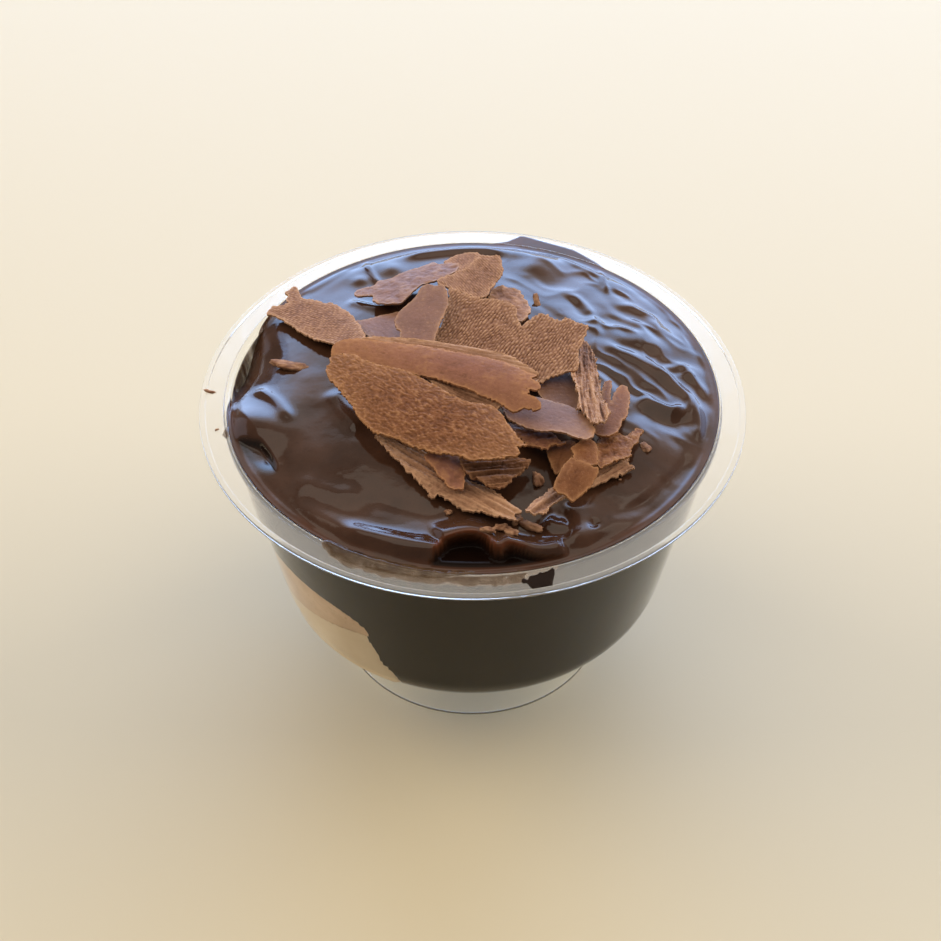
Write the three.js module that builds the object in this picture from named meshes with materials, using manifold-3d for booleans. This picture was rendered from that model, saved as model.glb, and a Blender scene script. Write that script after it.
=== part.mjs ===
// Profiteroles in a clear footed dessert cup: a choux bun in vanilla cream shows through the wall,
// chocolate sauce is mounded over it, and a heap of milk chocolate shavings lies on top.
// Millimetres, +Z up, origin at the centre of the foot's underside, front of the cup towards -Y.

import * as THREE from 'three';
import Module from 'manifold-3d';

// Cup, one moulding of clear plastic
const RIM_RADIUS = 48;
const RIM_TOP = 57.2;
const FLANGE_WIDTH = 4.6;
const CREST_TOP = 58;
const CREST_ROUND = 1.5;
const WALL = 0.9;
const BOWL_TOP_RADIUS = 42.8;
const BOWL_BASE_RADIUS = 35;
const BOWL_BASE = 15;
const BOWL_CORNER = 7;
const FOOT_RADIUS = 25.2;
const FOOT_NECK_RADIUS = 23.4;
const FOOT_WALL = 1.2;
const CUP_SECTORS = 60;
const CORNER_STEPS = 4;

// Gap that neighbouring pieces keep
const GAP = 0.3;

// Chocolate sauce: level at the wall, mound, and the dip at the left wall
const SAUCE_LEVEL = 57;
const MOUND_TOP = 62;
const MOUND_POWER = 2.4;
const RELIEF_POWER = 8;
const DIP = { angle: 176, spread: 9, depth: 4 };
const SAUCE_SECTORS = 72;
const SAUCE_RINGS = 14;
const WALL_STEPS = 5;

// Soft lumps that the spoon left in the sauce: place, height and spread
const LUMPS = [
  { at: [-37, -9], height: 1.6, spread: 4 },
  { at: [3, -35.5], height: 1.5, spread: 4 },
  { at: [-14, -33], height: 0.9, spread: 6 },
  { at: [9, 33], height: 1.5, spread: 5 },
  { at: [34, 9], height: 1.2, spread: 4.5 },
];

// Curved ridges of a stirring spoon on the right of the mound: radius about the swirl's centre
const SWIRL = { at: [14, 6], radii: [16, 22], from: -70, to: 80, height: 0.9, spread: 2.4 };

// Choux bun that leans on the wall at the front left
const BUN = { angle: 223, reach: 21, level: 31, radius: 20, half: 10.5 };

// Vanilla cream under the bun, a pool with upright sides and a slanting top
const CREAM = { angle: 219, reach: 28, radius: 16.6, top: 27, slant: 0.33, round: 3 };
const FILLING_SECTORS = 28;
const FILLING_RINGS = 12;

// Shavings, thin and wavy, from the lowest to the highest.
// from, to: ends of the middle line in plan; wide: width at its start, middle and end;
// bow: sideways bend of the middle line; pitch: degrees up towards its end; roll: degrees up on its left;
// curl: lift of both ends; arch: lift of both long sides; torn: raggedness of its two ends.
const SHAVING_THICKNESS = 1;
const SHAVING_STEP = 2.4;
const RIPPLE = 0.18;
const RIPPLE_RATES = [2.1, 4.3, 8.9];
const EDGE_WAVES = 9;
const FACE_WAVES = { along: 5, across: 2 };
const TEAR_WAVES = 2;
const TEAR_POWER = 6;

// How a shaving settles: tilts tried about the given one, samples for a trial and for the final rest,
// and the cell of the map of heights under it
const SETTLE = { range: 9, step: 3, trial: [36, 14], final: [140, 60], cell: 0.5 };

const SHAVINGS = [
  { name: 'back_fold', from: [-3, 23.5], to: [-1.5, 31], wide: [5, 6, 5], torn: [0.5, 1],
    roll: -3, arch: 0.5 },
  { name: 'under_front', from: [-14.5, -17], to: [8, -33.5], wide: [4, 8, 4], torn: [0.8, 1.6],
    bow: -1, roll: 9, arch: 0.5 },
  { name: 'right_strip', from: [20.5, -25], to: [28, -20], wide: [3, 4, 3], torn: [0.6, 1.2],
    roll: 15 },
  { name: 'right_grainy', from: [22.5, -19], to: [28.5, -13.5], wide: [6, 7, 4], torn: [0.5, 1.8],
    pitch: -6, roll: -6 },
  { name: 'front_chip', from: [8.5, -31.5], to: [15.5, -28], wide: [2.5, 4, 3], torn: [0.8, 0.8],
    roll: 12 },
  { name: 'hollow_back', from: [15, -20], to: [17, -24], wide: [4, 5, 4], torn: [0.4, 0.6] },
  { name: 'right_small', from: [18, -20.5], to: [20.5, -22.5], wide: [4, 5, 4], torn: [0.4, 0.6],
    roll: 6 },
  { name: 'right_upright', from: [23.5, -13], to: [26.5, -2.5], wide: [4, 5, 4.5], torn: [0.6, 1.8],
    roll: -6, arch: -0.4 },
  { name: 'left', from: [-34, 20.5], to: [-19.5, 12], wide: [10, 10, 6], torn: [2.6, 0.4],
    pitch: 3, curl: 1 },
  { name: 'left_inner', from: [-17, 11], to: [-13, 10], wide: [4, 5, 5], torn: [0.4, 0.4] },
  { name: 'back_left', from: [-21, 22.5], to: [-3.5, 28.5], wide: [3, 8, 4], torn: [1, 0.8],
    bow: 0.5, roll: -6 },
  { name: 'back', from: [2.5, 19], to: [4.5, 28.5], wide: [7, 8, 6.5], torn: [0.6, 1],
    pitch: 3, arch: 0.8 },
  { name: 'back_right', from: [9, 20.5], to: [12.5, 19], wide: [5, 5, 4], torn: [0.4, 1] },
  { name: 'right_edge', from: [22, 7.5], to: [23, -11.5], wide: [4, 5, 5], torn: [0.8, 1],
    roll: -9, arch: 0.6 },
  { name: 'hollow_left', from: [1.5, -23.5], to: [10, -25.5], wide: [5, 5, 3], torn: [0.4, 1.2],
    roll: 9 },
  { name: 'middle_right', from: [10.5, -4.5], to: [17, -6], wide: [6, 8, 6], torn: [0.4, 0.6] },
  { name: 'right_smooth', from: [15.5, -31.5], to: [19, -24], wide: [4, 6.5, 5], torn: [0.8, 0.6],
    pitch: 9 },
  { name: 'centre', from: [-5.5, 13], to: [19, 4], wide: [15, 15, 10], torn: [0.6, 1.6],
    bow: -0.5, roll: 2, arch: 0.5 },
  { name: 'centre_left', from: [-10, 4], to: [-7, 20], wide: [8, 9, 4], torn: [0.4, 1.2],
    pitch: 2, roll: -3 },
  { name: 'middle_ragged', from: [8.5, -17.5], to: [14, -18], wide: [3, 4, 3], torn: [0.6, 1.6] },
  { name: 'right_long', from: [5.5, -11.5], to: [20, -17.5], wide: [6, 8, 4], torn: [0.6, 0.8],
    bow: 0.5, pitch: -3, roll: 6 },
  { name: 'front_drop', from: [-6, -22], to: [-2.5, -27.5], wide: [5, 5, 4], torn: [0.3, 0.5],
    pitch: -9, roll: 6 },
  { name: 'ridge', from: [-24, 5], to: [10.5, -11], wide: [6, 9.5, 9], torn: [0.8, 2.2],
    roll: 9, arch: -0.8 },
  { name: 'front', from: [-24, -0.5], to: [8, -21], wide: [5, 11, 6], torn: [0.8, 1.6],
    bow: -4.5, roll: 24, arch: -0.7 },
];

// Finishes
const FINISHES = {
  cup: { color: 0xf4f6f6, roughness: 0.08, metalness: 0, transparent: true, opacity: 0.3 },
  sauce: { color: 0x2f1c14, roughness: 0.18, metalness: 0 },
  choux: { color: 0xa8845c, roughness: 0.7, metalness: 0 },
  cream: { color: 0xe6d3b0, roughness: 0.45, metalness: 0 },
  shaving: { color: 0x8a5a3e, roughness: 0.6, metalness: 0 },
};

const wasm = await Module();
wasm.setup();

const radians = THREE.MathUtils.degToRad;
const bell = (distance, spread) => Math.exp(-((distance / spread) ** 2));

// Radii of the bowl's outside and inside at a height, along its straight tapered wall
function outsideRadius(z) {
  const share = (z - BOWL_BASE) / (RIM_TOP - BOWL_BASE);
  return THREE.MathUtils.lerp(BOWL_BASE_RADIUS, BOWL_TOP_RADIUS, share);
}

function insideRadius(z) {
  return outsideRadius(z) - WALL;
}

// Angle in degrees from +X, and its shortest difference from another
function angleOf(x, y) {
  return THREE.MathUtils.radToDeg(Math.atan2(y, x));
}

function angleBetween(a, b) {
  return THREE.MathUtils.euclideanModulo(a - b + 180, 360) - 180;
}

// Point at a distance from the cup's axis
function onRay(angle, reach) {
  return [reach * Math.cos(radians(angle)), reach * Math.sin(radians(angle))];
}

// Half section of the cup, from the bowl's underside round the foot, wall and flange to the bowl's floor
function cupOutline() {
  const crestRadius = RIM_RADIUS - FLANGE_WIDTH;
  const floor = BOWL_BASE + WALL;
  const flangeUnder = CREST_TOP - WALL;
  const cornerTop = BOWL_BASE + BOWL_CORNER;
  const crestFoot = CREST_TOP - CREST_ROUND;
  const insideCorner = BOWL_CORNER - WALL;
  const outline = new THREE.Path();
  outline.moveTo(0, BOWL_BASE);
  outline.lineTo(FOOT_NECK_RADIUS - FOOT_WALL, BOWL_BASE);
  outline.lineTo(FOOT_RADIUS - FOOT_WALL, 0);
  outline.lineTo(FOOT_RADIUS, 0);
  outline.lineTo(FOOT_NECK_RADIUS, BOWL_BASE);
  outline.lineTo(BOWL_BASE_RADIUS - BOWL_CORNER, BOWL_BASE);
  outline.quadraticCurveTo(BOWL_BASE_RADIUS, BOWL_BASE, outsideRadius(cornerTop), cornerTop);
  outline.lineTo(outsideRadius(flangeUnder), flangeUnder - WALL);
  outline.lineTo(crestRadius + WALL, flangeUnder);
  outline.lineTo(RIM_RADIUS, RIM_TOP - WALL);
  outline.lineTo(RIM_RADIUS, RIM_TOP);
  outline.lineTo(crestRadius, CREST_TOP);
  outline.quadraticCurveTo(insideRadius(CREST_TOP), CREST_TOP, insideRadius(crestFoot), crestFoot);
  outline.lineTo(insideRadius(cornerTop), cornerTop);
  outline.quadraticCurveTo(insideRadius(floor), floor, insideRadius(floor) - insideCorner, floor);
  outline.lineTo(0, floor);
  return outline.getPoints(CORNER_STEPS);
}

function cupGeometry() {
  const geometry = new THREE.LatheGeometry(cupOutline(), CUP_SECTORS);
  return geometry.rotateX(Math.PI / 2);
}

// Closed surface made of rings from a bottom pole to a top pole; place(ring, angle) gives each point,
// ring 0 and the last ring being the poles
function ringedGeometry(rings, sectors, place) {
  const positions = [...place(0, 0)];
  for (let ring = 1; ring < rings; ring++) {
    for (let sector = 0; sector < sectors; sector++) {
      positions.push(...place(ring, (360 * sector) / sectors));
    }
  }
  positions.push(...place(rings, 0));
  const topPole = positions.length / 3 - 1;
  const index = [];
  const at = (ring, sector) => 1 + (ring - 1) * sectors + (sector % sectors);
  for (let sector = 0; sector < sectors; sector++) {
    index.push(0, at(1, sector + 1), at(1, sector));
    for (let ring = 1; ring < rings - 1; ring++) {
      const [a, b] = [at(ring, sector), at(ring, sector + 1)];
      const [c, d] = [at(ring + 1, sector), at(ring + 1, sector + 1)];
      index.push(a, b, d, a, d, c);
    }
    index.push(at(rings - 1, sector), at(rings - 1, sector + 1), topPole);
  }
  return indexedGeometry(positions, index);
}

function indexedGeometry(positions, index) {
  const geometry = new THREE.BufferGeometry();
  geometry.setAttribute('position', new THREE.Float32BufferAttribute(positions, 3));
  geometry.setIndex(index);
  return geometry;
}

// Boolean solids from indexed geometries and back
function solidOf(geometry) {
  const vertProperties = new Float32Array(geometry.attributes.position.array);
  const triVerts = new Uint32Array(geometry.index.array);
  return new wasm.Manifold(new wasm.Mesh({ numProp: 3, vertProperties, triVerts }));
}

function geometryOf(solid) {
  const mesh = solid.getMesh();
  return indexedGeometry(Array.from(mesh.vertProperties), Array.from(mesh.triVerts));
}

// Half section of the space inside the bowl, kept clear of it: rings across the floor, round the corner
// and up the wall to a given height
function bowlSection(top) {
  const floor = BOWL_BASE + WALL + GAP;
  const corner = BOWL_CORNER - WALL;
  const cornerTop = BOWL_BASE + BOWL_CORNER;
  const radius = (z) => insideRadius(z) - GAP;
  const section = new THREE.Path();
  section.moveTo(0, floor);
  section.lineTo(radius(floor) - corner, floor);
  section.quadraticCurveTo(radius(floor), floor, radius(cornerTop), cornerTop);
  for (let step = 1; step <= WALL_STEPS; step++) {
    const z = THREE.MathUtils.lerp(cornerTop, top, step / WALL_STEPS);
    section.lineTo(radius(z), z);
  }
  return section.getPoints(CORNER_STEPS);
}

// Height of the sauce at the wall, and of its whole top
function sauceEdge(angle) {
  return SAUCE_LEVEL - DIP.depth * bell(angleBetween(angle, DIP.angle), DIP.spread);
}

function swirlHeight(x, y) {
  const [dx, dy] = [x - SWIRL.at[0], y - SWIRL.at[1]];
  const turn = angleBetween(angleOf(dx, dy), (SWIRL.from + SWIRL.to) / 2);
  const ends = bell(turn, (SWIRL.to - SWIRL.from) / 2);
  const ridges = SWIRL.radii.map((radius) => bell(Math.hypot(dx, dy) - radius, SWIRL.spread));
  return SWIRL.height * ends * Math.max(...ridges);
}

function sauceTop(x, y) {
  const edge = sauceEdge(angleOf(x, y));
  const share = Math.min(Math.hypot(x, y) / insideRadius(SAUCE_LEVEL), 1);
  const mound = (MOUND_TOP - edge) * (1 - share ** MOUND_POWER);
  let relief = swirlHeight(x, y);
  for (const { at, height, spread } of LUMPS) {
    relief += height * bell(Math.hypot(x - at[0], y - at[1]), spread);
  }
  return edge + mound + relief * (1 - share ** RELIEF_POWER);
}

// Sauce: fills the bowl up to its wavy mounded top
function sauceGeometry() {
  const rings = bowlSection(SAUCE_LEVEL).length - 1 + SAUCE_RINGS;
  return ringedGeometry(rings, SAUCE_SECTORS, (ring, angle) => {
    const section = bowlSection(sauceEdge(angle));
    if (ring < section.length) {
      return [...onRay(angle, section[ring].x), section[ring].y];
    }
    const inward = (rings - ring) / SAUCE_RINGS;
    const [x, y] = onRay(angle, section.at(-1).x * inward);
    return [x, y, sauceTop(x, y)];
  });
}

// Space inside the bowl up to above the mound, which trims what lies against the wall
function bowlSpaceGeometry() {
  const section = bowlSection(MOUND_TOP);
  const last = section.length;
  return ringedGeometry(last, SAUCE_SECTORS, (ring, angle) => {
    const radius = ring < last ? section[ring].x : 0;
    return [...onRay(angle, radius), section[Math.min(ring, last - 1)].y];
  });
}

// Bun: a flattened round, grown by a margin where it is cut out of its surroundings
function bunGeometry(margin) {
  const [x, y] = onRay(BUN.angle, BUN.reach);
  return ringedGeometry(FILLING_RINGS, FILLING_SECTORS, (ring, angle) => {
    const rise = radians(-90 + (180 * ring) / FILLING_RINGS);
    const [dx, dy] = onRay(angle, (BUN.radius + margin) * Math.cos(rise));
    return [x + dx, y + dy, BUN.level + (BUN.half + margin) * Math.sin(rise)];
  });
}

// Cream: an upright pool with a rounded top edge that slants up along the wall
function creamGeometry(margin) {
  const [x, y] = onRay(CREAM.angle, CREAM.reach);
  const along = onRay(CREAM.angle + 90, 1);
  const radius = CREAM.radius + margin;
  const outline = new THREE.Path();
  outline.moveTo(0, 0);
  outline.lineTo(radius, 0);
  outline.lineTo(radius, CREAM.top + margin - CREAM.round);
  outline.quadraticCurveTo(radius, CREAM.top + margin, radius - CREAM.round, CREAM.top + margin);
  outline.lineTo(0, CREAM.top + margin);
  const points = outline.getPoints(CORNER_STEPS);
  return ringedGeometry(points.length - 1, FILLING_SECTORS, (ring, angle) => {
    const [dx, dy] = onRay(angle, points[ring].x);
    const slant = CREAM.slant * (dx * along[0] + dy * along[1]) * (points[ring].y / CREAM.top);
    return [x + dx, y + dy, points[ring].y + slant];
  });
}

// Repeatable random numbers between 0 and 1
function randomFrom(seed) {
  const [factor, step, range] = [1664525, 1013904223, 2 ** 32];
  let state = seed;
  return () => {
    state = (state * factor + step) % range;
    return state / range;
  };
}

// Sum of three waves with random starts, between about -1 and 1
function wobble(random) {
  const starts = RIPPLE_RATES.map((rate) => ({ rate, start: 2 * Math.PI * random() }));
  return (value) => starts.reduce((sum, { rate, start }) => sum + Math.sin(rate * value + start) / 2, 0);
}

// Middle surface of a shaving at a tilt: (s, t) with s from 0 to 1 along it and t from -1 to 1 across it
// gives plan x, y and the lift above its resting height
function shavingSurface(spec, seed, pitch, roll) {
  const { from, to, wide, bow = 0, curl = 0, arch = 0, torn } = spec;
  const random = randomFrom(seed);
  const [startTear, endTear, leftEdge, rightEdge, ripple] = Array.from({ length: 5 }, () => wobble(random));
  const along = new THREE.Vector2(to[0] - from[0], to[1] - from[1]);
  const length = along.length();
  along.normalize();
  return (s, t) => {
    const startShift = torn[0] * startTear(TEAR_WAVES * t) * (1 - s) ** TEAR_POWER;
    const endShift = torn[1] * endTear(TEAR_WAVES * t) * s ** TEAR_POWER;
    const width = wide[0] * (1 - s) * (1 - 2 * s) + 4 * wide[1] * s * (1 - s) + wide[2] * s * (2 * s - 1);
    const edge = t > 0 ? leftEdge : rightEdge;
    const ragged = RIPPLE * edge(EDGE_WAVES * s) * Math.abs(t);
    const ahead = s * length + startShift - endShift;
    const aside = 4 * bow * s * (1 - s) + (t * width) / 2 + ragged;
    const tilt = Math.tan(radians(pitch)) * (ahead - length / 2) + Math.tan(radians(roll)) * aside;
    const wave = RIPPLE * ripple(FACE_WAVES.along * s + FACE_WAVES.across * t);
    const lift = tilt + curl * (2 * s - 1) ** 2 + arch * t * t + wave;
    const x = from[0] + along.x * ahead - along.y * aside;
    const y = from[1] + along.y * ahead + along.x * aside;
    return { x, y, lift };
  };
}

// Heights of what lies below, on a fine grid over the cup
class HeightMap {
  constructor(span, cell, height) {
    this.cell = cell;
    this.side = Math.ceil((2 * span) / cell) + 1;
    this.span = span;
    this.cells = new Float64Array(this.side ** 2);
    for (let row = 0; row < this.side; row++) {
      for (let column = 0; column < this.side; column++) {
        this.cells[row * this.side + column] = height(column * cell - span, row * cell - span);
      }
    }
  }

  index(value) {
    return Math.round((value + this.span) / this.cell);
  }

  // Highest cell around a point
  around(x, y) {
    let highest = -Infinity;
    for (let row = this.index(y) - 1; row <= this.index(y) + 1; row++) {
      for (let column = this.index(x) - 1; column <= this.index(x) + 1; column++) {
        highest = Math.max(highest, this.cells[row * this.side + column]);
      }
    }
    return highest;
  }

  raise(x, y, z) {
    const place = this.index(y) * this.side + this.index(x);
    this.cells[place] = Math.max(this.cells[place], z);
  }
}

// Points spread over a shaving's middle surface
function surfaceSamples(surface, rows, columns) {
  const samples = [];
  for (let i = 0; i <= rows; i++) {
    for (let j = 0; j <= columns; j++) {
      samples.push(surface(i / rows, (2 * j) / columns - 1));
    }
  }
  return samples;
}

// Height at which a sampled surface lies a gap above everything under it
function restingHeight(samples, heights) {
  const clearance = GAP + SHAVING_THICKNESS / 2;
  const needs = samples.map(({ x, y, lift }) => heights.around(x, y) + clearance - lift);
  return needs.reduce((highest, need) => Math.max(highest, need));
}

// Lets a shaving settle: of the tilts near the given one, the one in which its middle lies lowest
function settledSurface(spec, seed, heights) {
  const { pitch = 0, roll = 0 } = spec;
  let best = { rest: Infinity };
  for (let dp = -SETTLE.range; dp <= SETTLE.range; dp += SETTLE.step) {
    for (let dr = -SETTLE.range; dr <= SETTLE.range; dr += SETTLE.step) {
      const surface = shavingSurface(spec, seed, pitch + dp, roll + dr);
      const rest = restingHeight(surfaceSamples(surface, ...SETTLE.trial), heights);
      if (rest < best.rest) best = { rest, surface };
    }
  }
  return best.surface;
}

// Lays a shaving on what is under it, and adds it to the heights
function laidShaving(spec, seed, heights) {
  const surface = settledSurface(spec, seed, heights);
  const samples = surfaceSamples(surface, ...SETTLE.final);
  const rest = restingHeight(samples, heights);
  samples.forEach(({ x, y, lift }) => heights.raise(x, y, rest + lift + SHAVING_THICKNESS / 2));
  return shavingGeometry(spec, surface, rest);
}

// Thin solid about a shaving's middle surface, both faces split alike
function shavingGeometry(spec, surface, rest) {
  const length = Math.hypot(spec.to[0] - spec.from[0], spec.to[1] - spec.from[1]);
  const rows = Math.max(3, Math.ceil(length / SHAVING_STEP));
  const columns = Math.max(2, Math.ceil(Math.max(...spec.wide) / SHAVING_STEP));
  const positions = [];
  for (const side of [0.5, -0.5]) {
    for (let i = 0; i <= rows; i++) {
      for (let j = 0; j <= columns; j++) {
        const { x, y, lift } = surface(i / rows, (2 * j) / columns - 1);
        positions.push(x, y, rest + lift + side * SHAVING_THICKNESS);
      }
    }
  }
  const under = (rows + 1) * (columns + 1);
  const at = (i, j) => i * (columns + 1) + j;
  const index = [];
  for (let i = 0; i < rows; i++) {
    for (let j = 0; j < columns; j++) {
      const [a, b, c, d] = [at(i, j), at(i + 1, j), at(i + 1, j + 1), at(i, j + 1)];
      index.push(a, b, c, a, c, d);
      index.push(under + a, under + c, under + b, under + a, under + d, under + c);
    }
  }
  const border = [];
  for (let i = 0; i < rows; i++) border.push(at(i, 0));
  for (let j = 0; j < columns; j++) border.push(at(rows, j));
  for (let i = rows; i > 0; i--) border.push(at(i, columns));
  for (let j = columns; j > 0; j--) border.push(at(0, j));
  border.forEach((a, k) => {
    const b = border[(k + 1) % border.length];
    index.push(a, under + a, under + b, a, under + b, b);
  });
  return indexedGeometry(positions, index);
}

function addPiece(group, name, geometry, finish) {
  geometry.computeVertexNormals();
  const mesh = new THREE.Mesh(geometry, new THREE.MeshStandardMaterial(finish));
  mesh.name = name;
  group.add(mesh);
}

function buildDessert() {
  const dessert = new THREE.Group();
  const space = solidOf(bowlSpaceGeometry());
  const cream = space.intersect(solidOf(creamGeometry(0)));
  const creamRoom = solidOf(creamGeometry(GAP));
  const bun = space.intersect(solidOf(bunGeometry(0))).subtract(creamRoom);
  const sauce = solidOf(sauceGeometry()).subtract(creamRoom).subtract(solidOf(bunGeometry(GAP)));

  addPiece(dessert, 'cup', cupGeometry(), FINISHES.cup);
  addPiece(dessert, 'vanilla_cream', geometryOf(cream), FINISHES.cream);
  addPiece(dessert, 'choux_bun', geometryOf(bun), FINISHES.choux);
  addPiece(dessert, 'chocolate_sauce', geometryOf(sauce), FINISHES.sauce);

  const heights = new HeightMap(RIM_RADIUS, SETTLE.cell, sauceTop);
  SHAVINGS.forEach((spec, seed) => {
    addPiece(dessert, `shaving_${spec.name}`, laidShaving(spec, seed + 1, heights), FINISHES.shaving);
  });
  return dessert;
}

export default buildDessert();
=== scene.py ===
"""Looks of the profiteroles in a clear dessert cup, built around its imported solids.

Every size is in millimetres in the cup's own frame: +Z up, the front of the cup towards -Y, and the
centre of the foot's underside at the origin. Meshes are turned into metres as they are made. Outlines
and strokes named trace are given in pixels of the camera's square picture, and are carried along the
lines of sight onto the surface that they belong to.
"""

import logging
import math
from dataclasses import dataclass, field
from enum import Enum, IntEnum
from functools import cached_property
from typing import Any, Callable, Optional, Sequence

import bpy
import numpy as np
from mathutils import Matrix, Vector


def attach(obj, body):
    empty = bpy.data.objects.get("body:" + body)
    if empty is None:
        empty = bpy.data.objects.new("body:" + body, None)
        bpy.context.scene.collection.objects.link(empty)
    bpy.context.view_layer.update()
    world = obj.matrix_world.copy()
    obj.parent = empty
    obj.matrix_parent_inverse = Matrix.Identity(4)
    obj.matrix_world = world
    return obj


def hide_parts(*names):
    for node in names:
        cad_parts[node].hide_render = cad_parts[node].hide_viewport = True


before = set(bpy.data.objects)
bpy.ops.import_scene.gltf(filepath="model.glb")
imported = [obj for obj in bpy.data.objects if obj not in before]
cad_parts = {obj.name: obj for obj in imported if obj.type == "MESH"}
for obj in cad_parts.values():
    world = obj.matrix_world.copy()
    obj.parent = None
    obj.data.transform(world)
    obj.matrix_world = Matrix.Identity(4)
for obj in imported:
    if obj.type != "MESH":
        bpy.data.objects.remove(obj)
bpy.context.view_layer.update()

LOG = logging.getLogger("profiteroles")
MM = 0.001
BODY = "root"

Piece = bpy.types.Object
Mesh = bpy.types.Mesh
Material = bpy.types.Material
Tree = bpy.types.NodeTree
Node = bpy.types.Node
Socket = bpy.types.NodeSocket
Array = np.ndarray
Pair = tuple[float, float]
Trace = tuple[Pair, ...]
Triple = tuple[float, float, float]
Colour = tuple[float, float, float]
Curve = tuple[tuple[float, ...], tuple[float, ...]]
Height = Callable[[Array, Array], Array]


class Slot(Enum):
    """Material slots of the record."""

    PLASTIC = "clear_plastic"
    CREAM = "cream"
    CHOUX = "choux"
    SAUCE = "sauce"
    SHAVING = "milk_chocolate"


class Seed(IntEnum):
    """Starting number of each kind of noise."""

    MOUND = 5
    RIPPLE = 6
    SAUCE_EDGE = 11
    STREAK = 12
    FOLD = 13
    FOLD_BEND = 14
    PATCH_EDGE = 15
    CREAM = 21
    BUN = 22
    DRIP = 69
    FILM = 71
    SHAVING_FACE = 100
    SHAVING_CHIPS = 200
    CRUMB_SPECKS = 299
    CRUMB = 300


def bell(distance: Array, spread: Array | float) -> Array:
    """Share that falls off smoothly with distance."""
    return np.exp(-((distance / spread) ** 2))


def smooth_step(value: Array, start: Array | float, end: Array | float) -> Array:
    """Share that rises smoothly from 0 at start to 1 at end."""
    share = np.clip((value - start) / (end - start), 0.0, 1.0)
    return share * share * (3.0 - 2.0 * share)


def lerp(start: Array | float, end: Array | float, share: Array | float) -> Array:
    """Value between start and end."""
    return start + (end - start) * share


def turn_between(angle: Array, other: float) -> Array:
    """Shortest turn in degrees from one angle to another."""
    return (angle - other + 180.0) % 360.0 - 180.0


def bearing(x: Array, y: Array) -> Array:
    """Direction of a place from the axis, in degrees."""
    return np.degrees(np.arctan2(y, x))


def away(x: Array, y: Array, place: Array) -> Array:
    """Distance in plan from a place."""
    return np.hypot(x - place[0], y - place[1])


def turned(x: Array, y: Array, angle: float) -> tuple[Array, Array]:
    """Coordinates along a direction in the plane and across it."""
    turn = math.radians(angle)
    return x * math.cos(turn) + y * math.sin(turn), y * math.cos(turn) - x * math.sin(turn)


def full_turn(sectors: int) -> Array:
    """Evenly spaced directions all round, in radians."""
    return np.linspace(0.0, 2.0 * math.pi, sectors, endpoint=False)


def smooth_line(knots: Array, steps: int) -> Array:
    """Points along a smooth curve through some given ones.

    Args:
        knots: Places that the curve goes through, in plan.
        steps: Steps between two of them.

    Returns:
        An array of plan points.
    """
    padded = np.vstack([2 * knots[0] - knots[1], knots, 2 * knots[-1] - knots[-2]])
    share = np.linspace(0.0, 1.0, steps, endpoint=False)[:, None]
    runs = []
    for before, start, end, after in zip(padded, padded[1:], padded[2:], padded[3:]):
        cubic = -before + 3 * start - 3 * end + after
        square = 2 * before - 5 * start + 4 * end - after
        runs.append(start + 0.5 * share * (end - before + share * (square + share * cubic)))
    return np.vstack(runs + [knots[-1:]])


class Noise:
    """Repeatable smooth noise over a plane, from about -1 to 1."""

    WORD = 0xFFFFFFFF
    COLUMN_STEP = 374761393
    ROW_STEP = 668265263
    SEED_STEP = 974634777
    MIXER = 1274126177
    LAYER_SHIFT = 17.3

    def __init__(self, seed: int) -> None:
        """Keeps the seed."""
        self.seed = int(seed)

    def _lattice(self, column: Array, row: Array) -> Array:
        """Value of each lattice point.

        Args:
            column: Whole numbers across.
            row: Whole numbers along.

        Returns:
            Values from -1 to 1.
        """
        mixed = column * self.COLUMN_STEP + row * self.ROW_STEP + self.seed * self.SEED_STEP
        mixed = mixed & self.WORD
        mixed = ((mixed ^ (mixed >> 13)) * self.MIXER) & self.WORD
        return (mixed ^ (mixed >> 16)) / self.WORD * 2.0 - 1.0

    def value(self, x: Array, y: Array) -> Array:
        """One layer of noise with a pitch of 1.

        Args:
            x, y: Places across and along.

        Returns:
            Values from -1 to 1.
        """
        column, row = np.floor(x).astype(np.int64), np.floor(y).astype(np.int64)
        across, along = smooth_step(x - column, 0.0, 1.0), smooth_step(y - row, 0.0, 1.0)
        low = lerp(self._lattice(column, row), self._lattice(column + 1, row), across)
        high = lerp(self._lattice(column, row + 1), self._lattice(column + 1, row + 1), across)
        return lerp(low, high, along)

    def layered(self, x: Array, y: Array, layers: int = 3) -> Array:
        """Several layers of noise, each of half the pitch and half the height of the last.

        Args:
            x, y: Places across and along.
            layers: Number of layers.

        Returns:
            The sum of the layers.
        """
        total = np.zeros(np.broadcast(x, y).shape)
        for layer in range(layers):
            scale, shift = 2.0**layer, self.LAYER_SHIFT * layer
            total += self.value(x * scale + shift, y * scale - shift) / scale
        return total


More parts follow.
